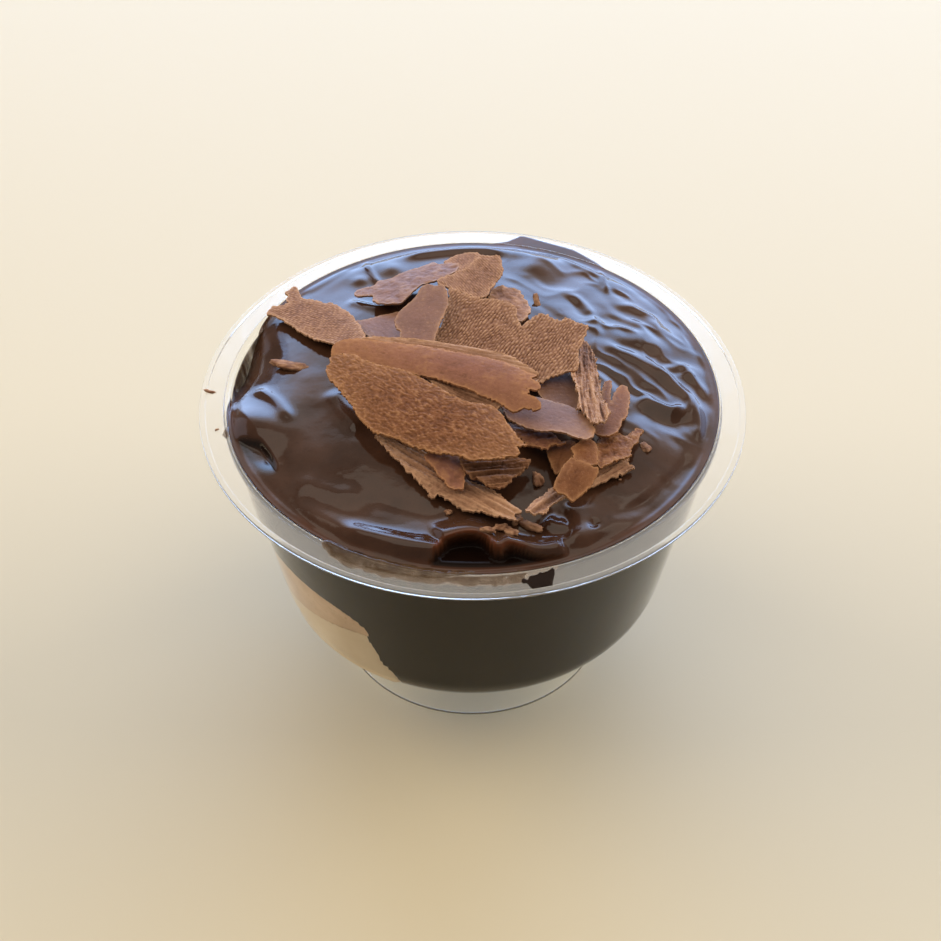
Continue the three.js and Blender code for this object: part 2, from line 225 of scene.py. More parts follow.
@dataclass(frozen=True)
class View:
    """Where the viewer's eye is, and the lines of sight through its picture."""

    eye: Triple = (0.0, -262.29, 293.17)
    aim: Triple = (-0.29, -18.26, 57.0)
    roll: float = 0.26
    half_frame: float = 470.5
    focal: float = 2000.0
    rounds: int = 30

    def axes(self) -> tuple[Array, Array, Array]:
        """Directions of the picture.

        Returns:
            Unit vectors ahead, to the right and up.
        """
        ahead = np.array(self.aim) - np.array(self.eye)
        ahead = ahead / np.linalg.norm(ahead)
        level = np.cross(ahead, (0.0, 0.0, 1.0))
        level = level / np.linalg.norm(level)
        turn = math.radians(self.roll)
        right = level * math.cos(turn) + np.cross(level, ahead) * math.sin(turn)
        return ahead, right, np.cross(right, ahead)

    def onto(self, trace: Sequence[Pair], height: Height, level: float) -> Array:
        """Plan places where the lines of sight through some pixels meet a surface.

        Args:
            trace: Pixels of the picture.
            height: The surface's height at places in plan.
            level: Height to start the search from.

        Returns:
            An array of plan points.
        """
        ahead, right, up = self.axes()
        offset = (np.array(trace, float) - self.half_frame) / self.focal
        way = ahead + offset[:, :1] * right - offset[:, 1:] * up
        slope = way[:, :2] / way[:, 2:]
        eye = np.array(self.eye)
        heights = np.full(len(way), level)
        for _ in range(self.rounds):
            plan = eye[:2] + slope * (heights - eye[2])[:, None]
            heights = 0.5 * (heights + height(plan[:, 0], plan[:, 1]))
        return eye[:2] + slope * (heights - eye[2])[:, None]


VIEW = View()


def placed(name: str, data: Any) -> Piece:
    """Makes an object and links it to the scene.

    Args:
        name: The object's name.
        data: Its mesh, light or camera.

    Returns:
        The new object.
    """
    made = bpy.data.objects.new(name, data)
    bpy.context.scene.collection.objects.link(made)
    return made


def fetched(items: Any, key: str, width: int, kind: type = np.float32) -> Array:
    """Values of a mesh's vertices, edges or triangles.

    Args:
        items: The mesh's own collection.
        key: Name of the value.
        width: Numbers in each value.
        kind: Kind of number.

    Returns:
        An array with a row for each item.
    """
    values = np.empty(len(items) * width, kind)
    items.foreach_get(key, values)
    return values.reshape(-1, width)


def new_piece(
    name: str,
    points: Array,
    quads: Array,
    triangles: Optional[Array] = None,
    masks: Optional[dict[str, Array]] = None,
    creases: Optional[Array] = None,
) -> Piece:
    """Makes a smooth-shaded mesh object from arrays.

    Args:
        name: The piece's name.
        points: Vertices in millimetres.
        quads: Vertex numbers of the four-sided faces.
        triangles: Vertex numbers of the three-sided faces.
        masks: Values at the vertices that the materials read, by name.
        creases: Pairs of vertex numbers whose edges stay sharp.

    Returns:
        The new object, linked to the scene.
    """
    triangles = np.zeros((0, 3), int) if triangles is None else triangles
    corners = np.concatenate([quads.ravel(), triangles.ravel()]).astype(np.int32)
    sizes = np.concatenate([np.full(len(quads), 4), np.full(len(triangles), 3)])
    starts = np.concatenate([[0], np.cumsum(sizes)[:-1]]).astype(np.int32)
    mesh = bpy.data.meshes.new(name)
    mesh.vertices.add(len(points))
    mesh.vertices.foreach_set("co", (np.asarray(points) * MM).astype(np.float32).ravel())
    mesh.loops.add(len(corners))
    mesh.loops.foreach_set("vertex_index", corners)
    mesh.polygons.add(len(sizes))
    mesh.polygons.foreach_set("loop_start", starts)
    mesh.polygons.foreach_set("use_smooth", np.ones(len(sizes), bool))
    for mask, values in (masks or {}).items():
        layer = mesh.attributes.new(mask, "FLOAT", "POINT")
        layer.data.foreach_set("value", np.asarray(values, np.float32))
    mesh.update(calc_edges=True)
    mesh.validate()
    if creases is not None:
        ends = fetched(mesh.edges, "vertices", 2, np.int32)
        sharp = mesh.attributes.new("sharp_edge", "BOOLEAN", "EDGE")
        keys = [np.sort(pairs, axis=1) @ (len(points), 1) for pairs in (ends, creases)]
        sharp.data.foreach_set("value", np.isin(*keys))
    return placed(name, mesh)


def dress(
    piece: Piece,
    materials: Sequence[Material],
    node: Optional[str] = None,
    finish: Optional[Array] = None,
) -> Piece:
    """Gives a piece its materials and body, and hides the solid that it stands for.

    Args:
        piece: The piece to dress.
        materials: Its materials, with the main one first.
        node: The solid that the piece replaces, if it replaces one.
        finish: Number of each face's material, where they differ.

    Returns:
        The same piece.
    """
    piece.data.materials.clear()
    for material in materials:
        piece.data.materials.append(material)
    if finish is not None:
        piece.data.polygons.foreach_set("material_index", finish.astype(np.int32))
    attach(piece, BODY)
    if node:
        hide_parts(node)
    LOG.info("%s: %d faces", piece.name, len(piece.data.polygons))
    return piece


def closed_rings(rings: int, sectors: int) -> tuple[Array, Array]:
    """Faces of a closed body made of rings round the axis and two poles, which come last.

    Args:
        rings: Number of rings, from the lower pole to the upper one.
        sectors: Vertices in each ring.

    Returns:
        Quads between neighbouring rings, and triangles at the poles.
    """
    ring, sector = np.meshgrid(np.arange(rings - 1), np.arange(sectors), indexing="ij")
    after = (sector + 1) % sectors
    low, high = ring * sectors, (ring + 1) * sectors
    quads = np.stack([low + sector, low + after, high + after, high + sector], -1).reshape(-1, 4)
    start, end = sector[0], after[0]
    last, pole = (rings - 1) * sectors, np.full(sectors, rings * sectors)
    lower = np.stack([end, start, pole], -1)
    upper = np.stack([last + start, last + end, pole + 1], -1)
    return quads, np.vstack([lower, upper])


def grid_quads(number: Array) -> Array:
    """Corners of a grid's cells, given the numbers of its vertices."""
    return np.stack([number[:-1, :-1], number[1:, :-1], number[1:, 1:], number[:-1, 1:]], -1)


def rounded(corners: Sequence[Triple], steps: int) -> Array:
    """Outline with rounded corners.

    Args:
        corners: Radius, height and rounding of each corner; the two ends stay sharp.
        steps: Steps in each rounding.

    Returns:
        An array of radius and height.
    """
    outline = [np.array(corners[0][:2])]
    share = np.linspace(0.0, 1.0, steps + 1)[:, None]
    for before, corner, after in zip(corners, corners[1:], corners[2:]):
        place = np.array(corner[:2])
        ways = [np.array(end[:2]) - place for end in (before, after)]
        ends = [place + way / np.linalg.norm(way) * corner[2] for way in ways]
        curve = lerp(lerp(ends[0], place, share), lerp(place, ends[1], share), share)
        outline.extend(curve)
    outline.append(np.array(corners[-1][:2]))
    return np.array(outline)


class Border:
    """Closed outline in a plane, with its corners cut once."""

    CUT = 0.15

    def __init__(self, points: Array) -> None:
        """Cuts the corners.

        Args:
            points: Corners of the outline.
        """
        after = np.roll(points, -1, axis=0)
        near, far = 1.0 - self.CUT, self.CUT
        cut = np.stack([near * points + far * after, far * points + near * after], 1)
        self.points = cut.reshape(-1, 2)

    def distance(self, u: Array, v: Array) -> Array:
        """Distance of some places to the border.

        Args:
            u, v: Places across and along.

        Returns:
            Distances, negative inside.
        """
        nearest = np.full(u.shape, np.inf)
        crossings = np.zeros(u.shape, int)
        for start, end in zip(self.points, np.roll(self.points, -1, axis=0)):
            way = end - start
            du, dv = u - start[0], v - start[1]
            share = np.clip((du * way[0] + dv * way[1]) / (way @ way), 0.0, 1.0)
            nearest = np.minimum(nearest, np.hypot(du - share * way[0], dv - share * way[1]))
            spans = (start[1] > v) != (end[1] > v)
            with np.errstate(divide="ignore", invalid="ignore"):
                meets = start[0] + way[0] * dv / way[1]
            crossings += spans & (u < meets)
        return np.where(crossings % 2 == 1, -nearest, nearest)


def grown(cells: Array) -> Array:
    """Cells together with those beside them.

    Args:
        cells: Which cells of a grid are chosen.

    Returns:
        The wider choice.
    """
    wide = cells.copy()
    wide[1:] |= cells[:-1]
    wide[:-1] |= cells[1:]
    wide[:, 1:] |= cells[:, :-1]
    wide[:, :-1] |= cells[:, 1:]
    return wide


class Sheet:
    """Fine grid that is cut along an outline and can be closed into a thin solid."""

    LEAST_SLOPE = 0.2
    SNAP = 0.55
    RIM_PITCH = 0.6
    RIM_MIDDLE = 0.25
    RIM_LIMITS = (0.1, 0.9)
    RIM_UNEVEN = 0.4

    def __init__(self, border: Border, pitch: float, gap_at: Height, margin: float = 1.5) -> None:
        """Cuts the grid.

        Args:
            border: The outline that the grid has to cover.
            pitch: Size of the grid's cells.
            gap_at: Distance to the cut at places of the plane, negative inside.
            margin: How far the grid goes beyond the outline.
        """
        low, high = border.points.min(0) - margin, border.points.max(0) + margin
        steps = [np.arange(start, end, pitch) for start, end in zip(low, high)]
        u, v = np.meshgrid(*steps, indexing="ij")
        u, v, gap = self._snapped(u, v, gap_at(u, v), pitch)
        quads, triangles = self._faces(gap)
        used = np.unique(np.concatenate([quads.ravel(), triangles.ravel()]))
        number = np.full(u.size, -1)
        number[used] = np.arange(len(used))
        self.u, self.v = u.ravel()[used], v.ravel()[used]
        self.gap = np.minimum(gap.ravel()[used], 0.0)
        self.quads, self.triangles = number[quads], number[triangles]

    @staticmethod
    def _snapped(u: Array, v: Array, gap: Array, pitch: float) -> tuple[Array, Array, Array]:
        """Moves the grid's points that are near the cut onto it.

        Args:
            u, v: The grid's points across and along.
            gap: Distance to the cut there.
            pitch: Size of the grid's cells.

        Returns:
            The moved points, and their distance to the cut.
        """
        slope_u, slope_v = np.gradient(gap, pitch)
        slope = np.maximum(np.hypot(slope_u, slope_v), Sheet.LEAST_SLOPE)
        apart = gap / slope
        near = np.abs(apart) < Sheet.SNAP * pitch
        u = np.where(near, u - apart * slope_u / slope, u)
        v = np.where(near, v - apart * slope_v / slope, v)
        return u, v, np.where(near, 0.0, apart)

    @staticmethod
    def _faces(gap: Array) -> tuple[Array, Array]:
        """Faces of the grid that lie inside the cut and hang together.

        Args:
            gap: Distance to the cut at the grid's points.

        Returns:
            Quads, and triangles where one corner of a quad is outside.
        """
        corners = grid_quads(np.arange(gap.size).reshape(gap.shape))
        inside = gap.ravel()[corners] <= 0.0
        whole, part = inside.all(-1), inside.sum(-1) == 3
        reached = np.zeros(whole.shape, bool)
        reached[np.unravel_index(np.argmin(np.where(whole, gap[:-1, :-1], np.inf)), whole.shape)] = True
        count = 0
        while count != reached.sum():
            count = reached.sum()
            reached = grown(reached) & whole
        beside = part & grown(reached)
        first = np.argmin(inside[beside], axis=1)
        order = (first[:, None] + np.arange(1, 4)[None, :]) % 4
        return corners[reached], np.take_along_axis(corners[beside], order, axis=1)

    def edges(self) -> Array:
        """Edges with a face on their left only.

        Returns:
            Pairs of vertex numbers, in the faces' own direction.
        """
        loops = [self.quads, self.triangles]
        starts = np.concatenate([faces.ravel() for faces in loops])
        ends = np.concatenate([np.roll(faces, -1, axis=1).ravel() for faces in loops])
        count = len(self.u)
        alone = ~np.isin(starts * count + ends, ends * count + starts)
        return np.stack([starts[alone], ends[alone]], -1)

    def solid(
        self,
        name: str,
        places: tuple[Array, Array],
        heights: tuple[Array, Array],
        masks: dict[str, tuple[Array, float, float]],
        split: float,
    ) -> Piece:
        """Closes the cut grid into a thin solid with an uneven rim.

        Args:
            name: The piece's name.
            places: Plan x and y of the grid's points.
            heights: Heights of the upper and the lower side.
            masks: Values at the upper side, at the lower side and along the rim, by name.
            split: How far the middle of the rim stands in or out.

        Returns:
            The new piece.
        """
        x, y = places
        top, low = heights
        count = len(x)
        edges = self.edges()
        step_x, step_y = (axis[edges[:, 1]] - axis[edges[:, 0]] for axis in (x, y))
        out = np.zeros((count, 2))
        for end in range(2):
            np.add.at(out, edges[:, end], np.stack([step_y, -step_x], -1))
        rim = np.unique(edges)
        out = out[rim] / np.maximum(np.linalg.norm(out[rim], axis=1), 1e-9)[:, None]
        uneven = Noise(count).layered(x[rim] / self.RIM_PITCH, y[rim] / self.RIM_PITCH, 2)
        number = np.full(count, -1)
        number[rim] = 2 * count + np.arange(len(rim))
        middle = lerp(low[rim], top[rim], np.clip(0.5 + self.RIM_MIDDLE * uneven, *self.RIM_LIMITS))
        shift = split * uneven
        points = np.vstack([
            np.stack([x, y, top], -1),
            np.stack([x, y, low], -1),
            np.stack([x[rim] + out[:, 0] * shift, y[rim] + out[:, 1] * shift, middle], -1),
        ])
        a, b = edges.T
        quads = np.vstack([
            self.quads,
            self.quads[:, ::-1] + count,
            np.stack([a, number[a], number[b], b], -1),
            np.stack([number[a], a + count, b + count, number[b]], -1),
        ])
        triangles = np.vstack([self.triangles, self.triangles[:, ::-1] + count])
        values = {}
        for mask, (upper, lower, along_rim) in masks.items():
            rim_values = np.clip(along_rim * (1.0 + self.RIM_UNEVEN * uneven), 0.0, 1.0)
            values[mask] = np.concatenate([upper, np.full(count, lower), rim_values])
        return new_piece(name, points, quads, triangles, values, np.vstack([edges, edges + count]))


def opaque(colour: Colour) -> tuple[float, float, float, float]:
    """Colour with full alpha, for a socket."""
    return (*colour, 1.0)


class Graph:
    """Short way to fill a node tree."""

    def __init__(self, tree: Tree) -> None:
        """Keeps the tree."""
        self.tree = tree

    @cached_property
    def place(self) -> Socket:
        """The object's own coordinates."""
        return self.add("ShaderNodeTexCoord").outputs["Object"]

    def set(self, node: Node, values: dict[Any, Any]) -> Node:
        """Sets or links a node's inputs.

        Args:
            node: The node.
            values: Constants and output sockets by the input's name or number.

        Returns:
            The same node.
        """
        for key, value in values.items():
            if isinstance(value, Socket):
                self.tree.links.new(value, node.inputs[key])
            else:
                node.inputs[key].default_value = value
        return node

    def add(self, kind: str, values: Optional[dict[Any, Any]] = None, **settings: Any) -> Node:
        """Adds a node.

        Args:
            kind: The node's type.
            values: Its inputs, as for set.
            settings: Its other settings by name.

        Returns:
            The new node.
        """
        node = self.tree.nodes.new(kind)
        for key, value in settings.items():
            setattr(node, key, value)
        return self.set(node, values or {})

    def mask(self, name: str) -> Socket:
        """Value that a mesh carries at its vertices."""
        return self.add("ShaderNodeAttribute", attribute_name=name).outputs["Fac"]

    def mix(self, share: Any, start: Any, end: Any) -> Socket:
        """Colour between two colours."""
        return self.add("ShaderNodeMix", {0: share, 6: start, 7: end}, data_type="RGBA").outputs[2]

    def math(self, operation: str, *values: Any) -> Socket:
        """Result of a calculation."""
        return self.add("ShaderNodeMath", dict(enumerate(values)), operation=operation).outputs[0]

    def ranged(self, value: Any, low: float, high: float, start: float, end: float) -> Socket:
        """Value carried from one range to another, and held inside it."""
        return self.add("ShaderNodeMapRange", dict(enumerate((value, low, high, start, end)))).outputs[0]

    def noise(self, scale: Any, detail: float) -> Socket:
        """Noise over the object's own coordinates."""
        values = {"Vector": self.place, "Scale": scale, "Detail": detail}
        return self.add("ShaderNodeTexNoise", values).outputs["Fac"]

    def group(self, tree: Tree, values: dict[str, Any]) -> Node:
        """Places a node group with its own values."""
        return self.add("ShaderNodeGroup", values, node_tree=tree)


def new_group(name: str, inputs: dict[str, str], outputs: dict[str, str]) -> tuple[Graph, Any, Any]:
    """Starts a shader node group.

    Args:
        name: The group's name.
        inputs: Socket kinds by name.
        outputs: Socket kinds by name.

    Returns:
        The group's graph, its input node's outputs and its output node's inputs.
    """
    tree = bpy.data.node_groups.new(name, "ShaderNodeTree")
    for direction, sockets in (("INPUT", inputs), ("OUTPUT", outputs)):
        for socket, kind in sockets.items():
            tree.interface.new_socket(name=socket, in_out=direction, socket_type="NodeSocket" + kind)
    source, target = tree.nodes.new("NodeGroupInput"), tree.nodes.new("NodeGroupOutput")
    return Graph(tree), source.outputs, target.inputs


class Effects:
    """Node groups that several finishes share."""

    def __init__(self) -> None:
        """Builds each group once."""
        self.mottle = self._mottle()
        self.grain = self._grain()

    @staticmethod
    def _mottle() -> Tree:
        """Uneven colour: soft blotches between a dark and a light tone, with fine speckle.

        Returns:
            The node group.
        """
        graph, given, put = new_group(
            "Mottle",
            {"Dark": "Color", "Light": "Color", "Speckle": "Color", "Scale": "Float", "Amount": "Float"},
            {"Color": "Color", "Value": "Float"},
        )
        finer, blotch_range, speck_range = 7.0, (0.32, 0.68), (0.6, 0.72)
        share = graph.ranged(graph.noise(given["Scale"], detail=5.0), *blotch_range, 0.0, 1.0)
        fine = graph.noise(graph.math("MULTIPLY", given["Scale"], finer), detail=2.0)
        speck = graph.ranged(fine, *speck_range, 0.0, 1.0)
        blotched = graph.mix(share, given["Dark"], given["Light"])
        speckled = graph.mix(graph.math("MULTIPLY", speck, given["Amount"]), blotched, given["Speckle"])
        graph.tree.links.new(speckled, put["Color"])
        graph.tree.links.new(share, put["Value"])
        return graph.tree

    @staticmethod
    def _grain() -> Tree:
        """Fine uneven height for a Bump node, from two sizes of noise.

        Returns:
            The node group.
        """
        graph, given, put = new_group("Fine grain", {"Scale": "Float"}, {"Height": "Float"})
        finer, fine_share = 3.1, 0.5
        coarse = graph.noise(given["Scale"], detail=4.0)
        fine = graph.noise(graph.math("MULTIPLY", given["Scale"], finer), detail=2.0)
        total = graph.math("ADD", coarse, graph.math("MULTIPLY", fine, fine_share))
        graph.tree.links.new(total, put["Height"])
        return graph.tree

    def tone(self, graph: Graph, colours: Sequence[Colour], scale: float, amount: float) -> Any:
        """Places the uneven colour, given its dark tone, light tone and speckle, and gives its outputs."""
        values = dict(zip(("Dark", "Light", "Speckle"), map(opaque, colours)))
        return graph.group(self.mottle, {**values, "Scale": scale, "Amount": amount}).outputs

    def bump(self, graph: Graph, scale: float, strength: float, depth: float) -> Socket:
        """Places the fine grain in a material.

        Args:
            graph: The material's graph.
            scale: How fine the grain is.
            strength: How strongly it shows.
            depth: How deep it is, in metres.

        Returns:
            The surface's normal.
        """
        height = graph.group(self.grain, {"Scale": scale}).outputs["Height"]
        values = {"Height": height, "Strength": strength, "Distance": depth}
        return graph.add("ShaderNodeBump", values).outputs[0]


def new_material(name: str) -> tuple[Material, Graph, Node]:
    """Starts a material with one Principled shader.

    Args:
        name: The material's name.

    Returns:
        The material, its graph and its shader.
    """
    material = bpy.data.materials.new(name)
    material.use_nodes = True
    return material, Graph(material.node_tree), material.node_tree.nodes["Principled BSDF"]


@dataclass(frozen=True)
class ClearPlastic:
    """Polished clear plastic that lets lamp light through; haze is the share that scatters light."""

    tint: Colour = (0.985, 0.99, 0.985)
    roughness: float = 0.03
    ior: float = 1.42
    mirror: Colour = (0.15, 0.15, 0.15)
    shade: Colour = (0.93, 0.94, 0.93)
    haze: float = 0.0

    def build(self, name: str) -> Material:
        """Makes the material; light rays from lamps pass as through a pane.

        Args:
            name: The material's name.

        Returns:
            The material.
        """
        material, graph, shader = new_material(name)
        graph.set(shader, {
            "Base Color": opaque(self.tint),
            "Roughness": self.roughness,
            "IOR": self.ior,
            "Specular Tint": opaque(self.mirror),
            "Transmission Weight": 1.0 - self.haze,
        })
        pane = graph.add("ShaderNodeBsdfTransparent", {"Color": opaque(self.shade)})
        lamp = graph.add("ShaderNodeLightPath").outputs["Is Shadow Ray"]
        both = graph.add("ShaderNodeMixShader", {0: lamp, 1: shader.outputs[0], 2: pane.outputs[0]})
        graph.set(material.node_tree.nodes["Material Output"], {"Surface": both.outputs[0]})
        return material


@dataclass(frozen=True, kw_only=True)
class Uneven:
    """What the uneven finishes share: blotches of colour with fine speckle, and a fine grain.

    Gloss is the range of the roughness, and alpha the range from thick to thin.
    """

    dark: Colour
    light: Colour
    speckle: Optional[Colour] = None
    amount: float
    blotch_scale: float
    gloss: Pair
    specular: float
    bump: float
    grain_scale: float
    grain_depth: float
    alpha: Optional[Pair] = None

    def build(self, name: str, effects: Effects) -> Material:
        """Makes the material.

        Args:
            name: The material's name.
            effects: The shared node groups.

        Returns:
            The material.
        """
        material, graph, shader = new_material(name)
        colours = (self.dark, self.light, self.speckle or self.dark)
        tone = effects.tone(graph, colours, self.blotch_scale, self.amount)
        graph.set(shader, {
            "Base Color": self.painted(graph, tone["Color"]),
            "Roughness": graph.ranged(tone["Value"], 0.0, 1.0, *self.gloss),
            "Specular IOR Level": self.specular,
            "Normal": effects.bump(graph, self.grain_scale, self.bump, self.grain_depth),
        })
        if self.alpha:
            graph.set(shader, {"Alpha": graph.ranged(graph.mask("thin"), 0.0, 1.0, *self.alpha)})
        return material

    def painted(self, graph: Graph, colour: Socket) -> Socket:
        """Colour with what the masks of a mesh add to it: nothing, unless a finish says so."""
        return colour


@dataclass(frozen=True, kw_only=True)
class WetChocolate(Uneven):
    """Glossy dark sauce, redder where it is thin, and almost black where painted shade is laid on it."""

    dark: Colour = (0.04, 0.0165, 0.0085)
    light: Colour = (0.07, 0.031, 0.017)
    thin: Colour = (0.17, 0.045, 0.015)
    # Colour of the painted shade, laid in creases and under overhangs where shadow falls.
    painted_shade: Colour = (0.007, 0.003, 0.0018)
    amount: float = 0.4
    blotch_scale: float = 140.0
    gloss: Pair = (0.07, 0.15)
    specular: float = 0.5
    bump: float = 0.04
    grain_scale: float = 420.0
    grain_depth: float = 0.0004

    def painted(self, graph: Graph, colour: Socket) -> Socket:
        """Colour with the mask named thin, and then with the mask of painted shade, which blackens it."""
        thinned = graph.mix(graph.mask("thin"), colour, opaque(self.thin))
        return graph.mix(graph.mask("painted_shade"), thinned, opaque(self.painted_shade))


@dataclass(frozen=True, kw_only=True)
class SoftFilling(Uneven):
    """Cream or baked dough: soft, uneven colour and low gloss."""

    specular: float = 0.1
    grain_depth: float = 0.0005


@dataclass(frozen=True, kw_only=True)
class ShavedChocolate(Uneven):
    """Milk chocolate: paler where broken and under painted highlight on raised grain, darker in pits and
    painted shade.
    """

    pits_and_shade: Colour
    amount: float = 0.35
    blotch_scale: float = 260.0
    grain_scale: float = 1500.0
    grain_depth: float = 0.0003

    def painted(self, graph: Graph, colour: Socket) -> Socket:
        """Colour with the mask of pits and painted shade, then the mask of pale edges and painted highlight.
        """
        pitted = graph.mix(graph.mask("pits_and_shade"), colour, opaque(self.pits_and_shade))
        return graph.mix(graph.mask("edge"), pitted, opaque(self.speckle))


@dataclass
class Cup:
    """Clear moulded cup: flange, tapered bowl and hollow foot."""

    rim_radius: float = 48.0
    rim_top: float = 57.2
    crest_radius: float = 43.4
    crest_top: float = 58.0
    wall_top: float = 57.5
    wall: float = 0.5
    bowl_top_radius: float = 42.8
    bowl_base_radius: float = 35.0
    bowl_base: float = 15.0
    bowl_corner: float = 7.0
    foot_radius: float = 25.2
    foot_neck: float = 23.4
    foot_wall: float = 1.2
    bead: float = 0.15
    lip_width: float = 1.0
    sectors: int = 256
    corner_steps: int = 6

    @property
    def floor(self) -> float:
        """Height of the bowl's inside floor."""
        return self.bowl_base + self.wall

    def outside_radius(self, height: Array | float) -> Array | float:
        """Radius of the bowl's outside at a height."""
        share = (height - self.bowl_base) / (self.rim_top - self.bowl_base)
        return lerp(self.bowl_base_radius, self.bowl_top_radius, share)

    def inside_radius(self, height: Array | float) -> Array | float:
        """Radius of the bowl's inside at a height."""
        return self.outside_radius(height) - self.wall

    def flange_top(self, radius: Array) -> Array:
        """Height of the flange's upper face at a radius."""
        share = (radius - self.crest_radius) / (self.rim_radius - self.crest_radius)
        return lerp(self.crest_top, self.rim_top, share)

    def rim_surface(self, x: Array, y: Array) -> Array:
        """Height of the crest and the flange.

        Args:
            x, y: Places in plan.

        Returns:
            Heights at those places.
        """
        radius = np.hypot(x, y)
        inside = float(self.inside_radius(self.wall_top))
        share = np.clip((radius - inside) / (self.crest_radius - inside), 0.0, 1.0)
        crest = lerp(self.wall_top, self.crest_top, share)
        return np.where(radius > self.crest_radius, self.flange_top(radius), crest)

    def outline(self) -> Array:
        """Half section, from the middle of the underside round to the middle of the floor.

        Returns:
            An array of radius and height.
        """
        under = self.crest_top - self.wall
        lip = self.rim_radius - self.lip_width
        lip_top = float(self.flange_top(np.array(lip)))
        corners = [
            (0.0, self.bowl_base, 0.0),
            (self.foot_neck - self.foot_wall, self.bowl_base, 0.6),
            (self.foot_radius - self.foot_wall, 0.0, 0.3),
            (self.foot_radius, 0.0, 0.4),
            (self.foot_neck, self.bowl_base, 0.9),
            (self.bowl_base_radius, self.bowl_base, self.bowl_corner),
            (float(self.outside_radius(under - self.wall)), under - self.wall, 0.6),
            (self.crest_radius + self.wall, under, 0.4),
            (self.rim_radius, self.rim_top - 0.6 * self.wall, 0.1),
            (self.rim_radius, lip_top + self.bead, 0.35),
            (lip, lip_top + self.bead, 0.1),
            (lip - self.bead, lip_top, 0.1),
            (self.crest_radius + 2 * self.bead, self.crest_top, 0.2),
            (self.crest_radius, self.crest_top + self.bead, 0.25),
            (float(self.inside_radius(self.wall_top)), self.wall_top, 0.3),
            (float(self.inside_radius(self.floor)), self.floor, self.bowl_corner - self.wall),
            (0.0, self.floor, 0.0),
        ]
        return rounded(corners, self.corner_steps)

    def build(self, material: Material, hazy: Material) -> Piece:
        """Turns the outline round the axis and dresses it.

        Args:
            material: Finish of the bowl, the foot and the flange's underside.
            hazy: Finish of the flange's upper face, which is worn and greasy.

        Returns:
            The dressed piece.
        """
        outline = self.outline()
        radius, height = (np.repeat(axis, self.sectors) for axis in outline[1:-1].T)
        around = np.tile(full_turn(self.sectors), len(outline) - 2)
        rings = np.stack([radius * np.cos(around), radius * np.sin(around), height], -1)
        ends = np.array([[0.0, 0.0, outline[0, 1]], [0.0, 0.0, outline[-1, 1]]])
        quads, triangles = closed_rings(len(outline) - 2, self.sectors)
        piece = new_piece("clear_cup", np.vstack([rings, ends]), quads, triangles)
        reach, level = 0.5 * (outline[1:-2] + outline[2:-1]).T
        upper = (reach > self.crest_radius) & (level > self.flange_top(reach) - 0.5 * self.wall)
        finish = np.concatenate([np.repeat(upper, self.sectors), np.zeros(len(triangles))])
        return dress(piece, [material, hazy], "cup", finish)


@dataclass(frozen=True)
class Stroke:
    """One stroke of the spoon in the sauce: a ridge, or a groove where the height is negative.

    Seen along its trace, inner is the spread on the left, outer the spread on the right, and lean carries
    the crest over to the right.
    """

    trace: Trace
    height: float
    inner: float
    outer: float
    lean: float = 0.0
    taper: float = 0.22
    steps: int = 6

    def share(self, line: Array, x: Array, y: Array) -> tuple[Array, Array]:
        """How much of the stroke there is at some places, and the way to its right there.

        Args:
            line: Plan points of the stroke.
            x, y: Places in plan.

        Returns:
            Shares from 0 to 1, and unit vectors.
        """
        lengths = np.linalg.norm(np.diff(line, axis=0), axis=1)
        travelled = np.concatenate([[0.0], np.cumsum(lengths)])
        nearest = np.full(x.shape, np.inf)
        side, along = np.zeros(x.shape), np.zeros(x.shape)
        right = np.zeros(x.shape + (2,))
        for start, step, length, begun in zip(line, np.diff(line, axis=0), lengths, travelled):
            way = step / length
            dx, dy = x - start[0], y - start[1]
            run = np.clip(dx * way[0] + dy * way[1], 0.0, length)
            gap = np.hypot(dx - run * way[0], dy - run * way[1])
            closer = gap < nearest
            nearest[closer] = gap[closer]
            side[closer] = (way[0] * dy - way[1] * dx)[closer]
            along[closer] = ((begun + run) / travelled[-1])[closer]
            right[closer] = (way[1], -way[0])
        ends = smooth_step(along, 0.0, self.taper) * smooth_step(1.0 - along, 0.0, self.taper)
        return bell(nearest, np.where(side > 0.0, self.inner, self.outer)) * ends, right


FRONT_STROKES = (
    Stroke(((335, 531), (355, 534), (380, 535), (405, 537), (430, 540), (448, 540)), 0.5, 2.6, 3.0),
    Stroke(((434, 540), (445, 537), (458, 535), (470, 534), (481, 535), (491, 539), (498, 546), (502, 556)),
           1.2, 2.2, 2.0, lean=0.5, taper=0.12),
    Stroke(((500, 544), (512, 543), (524, 546), (536, 552), (548, 554), (558, 552), (567, 549)),
           1.5, 1.6, 1.6, lean=0.5, taper=0.12),
    Stroke(((542, 521), (556, 528), (571, 527)), 0.8, 1.8, 0.9),
    Stroke(((566, 500), (572, 518), (573, 535), (570, 556)), 0.6, 3.0, 0.8),
    Stroke(((345, 493), (400, 507), (450, 519)), -0.4, 2.2, 2.4),
)
LEFT_STROKES = (
    Stroke(((255, 388), (266, 394), (278, 404), (292, 424)), 0.45, 1.0, 1.3),
    Stroke(((330, 388), (345, 410), (365, 432)), 0.4, 1.6, 2.0),
    Stroke(((290, 478), (330, 492), (380, 500)), 0.35, 2.0, 2.4),
)
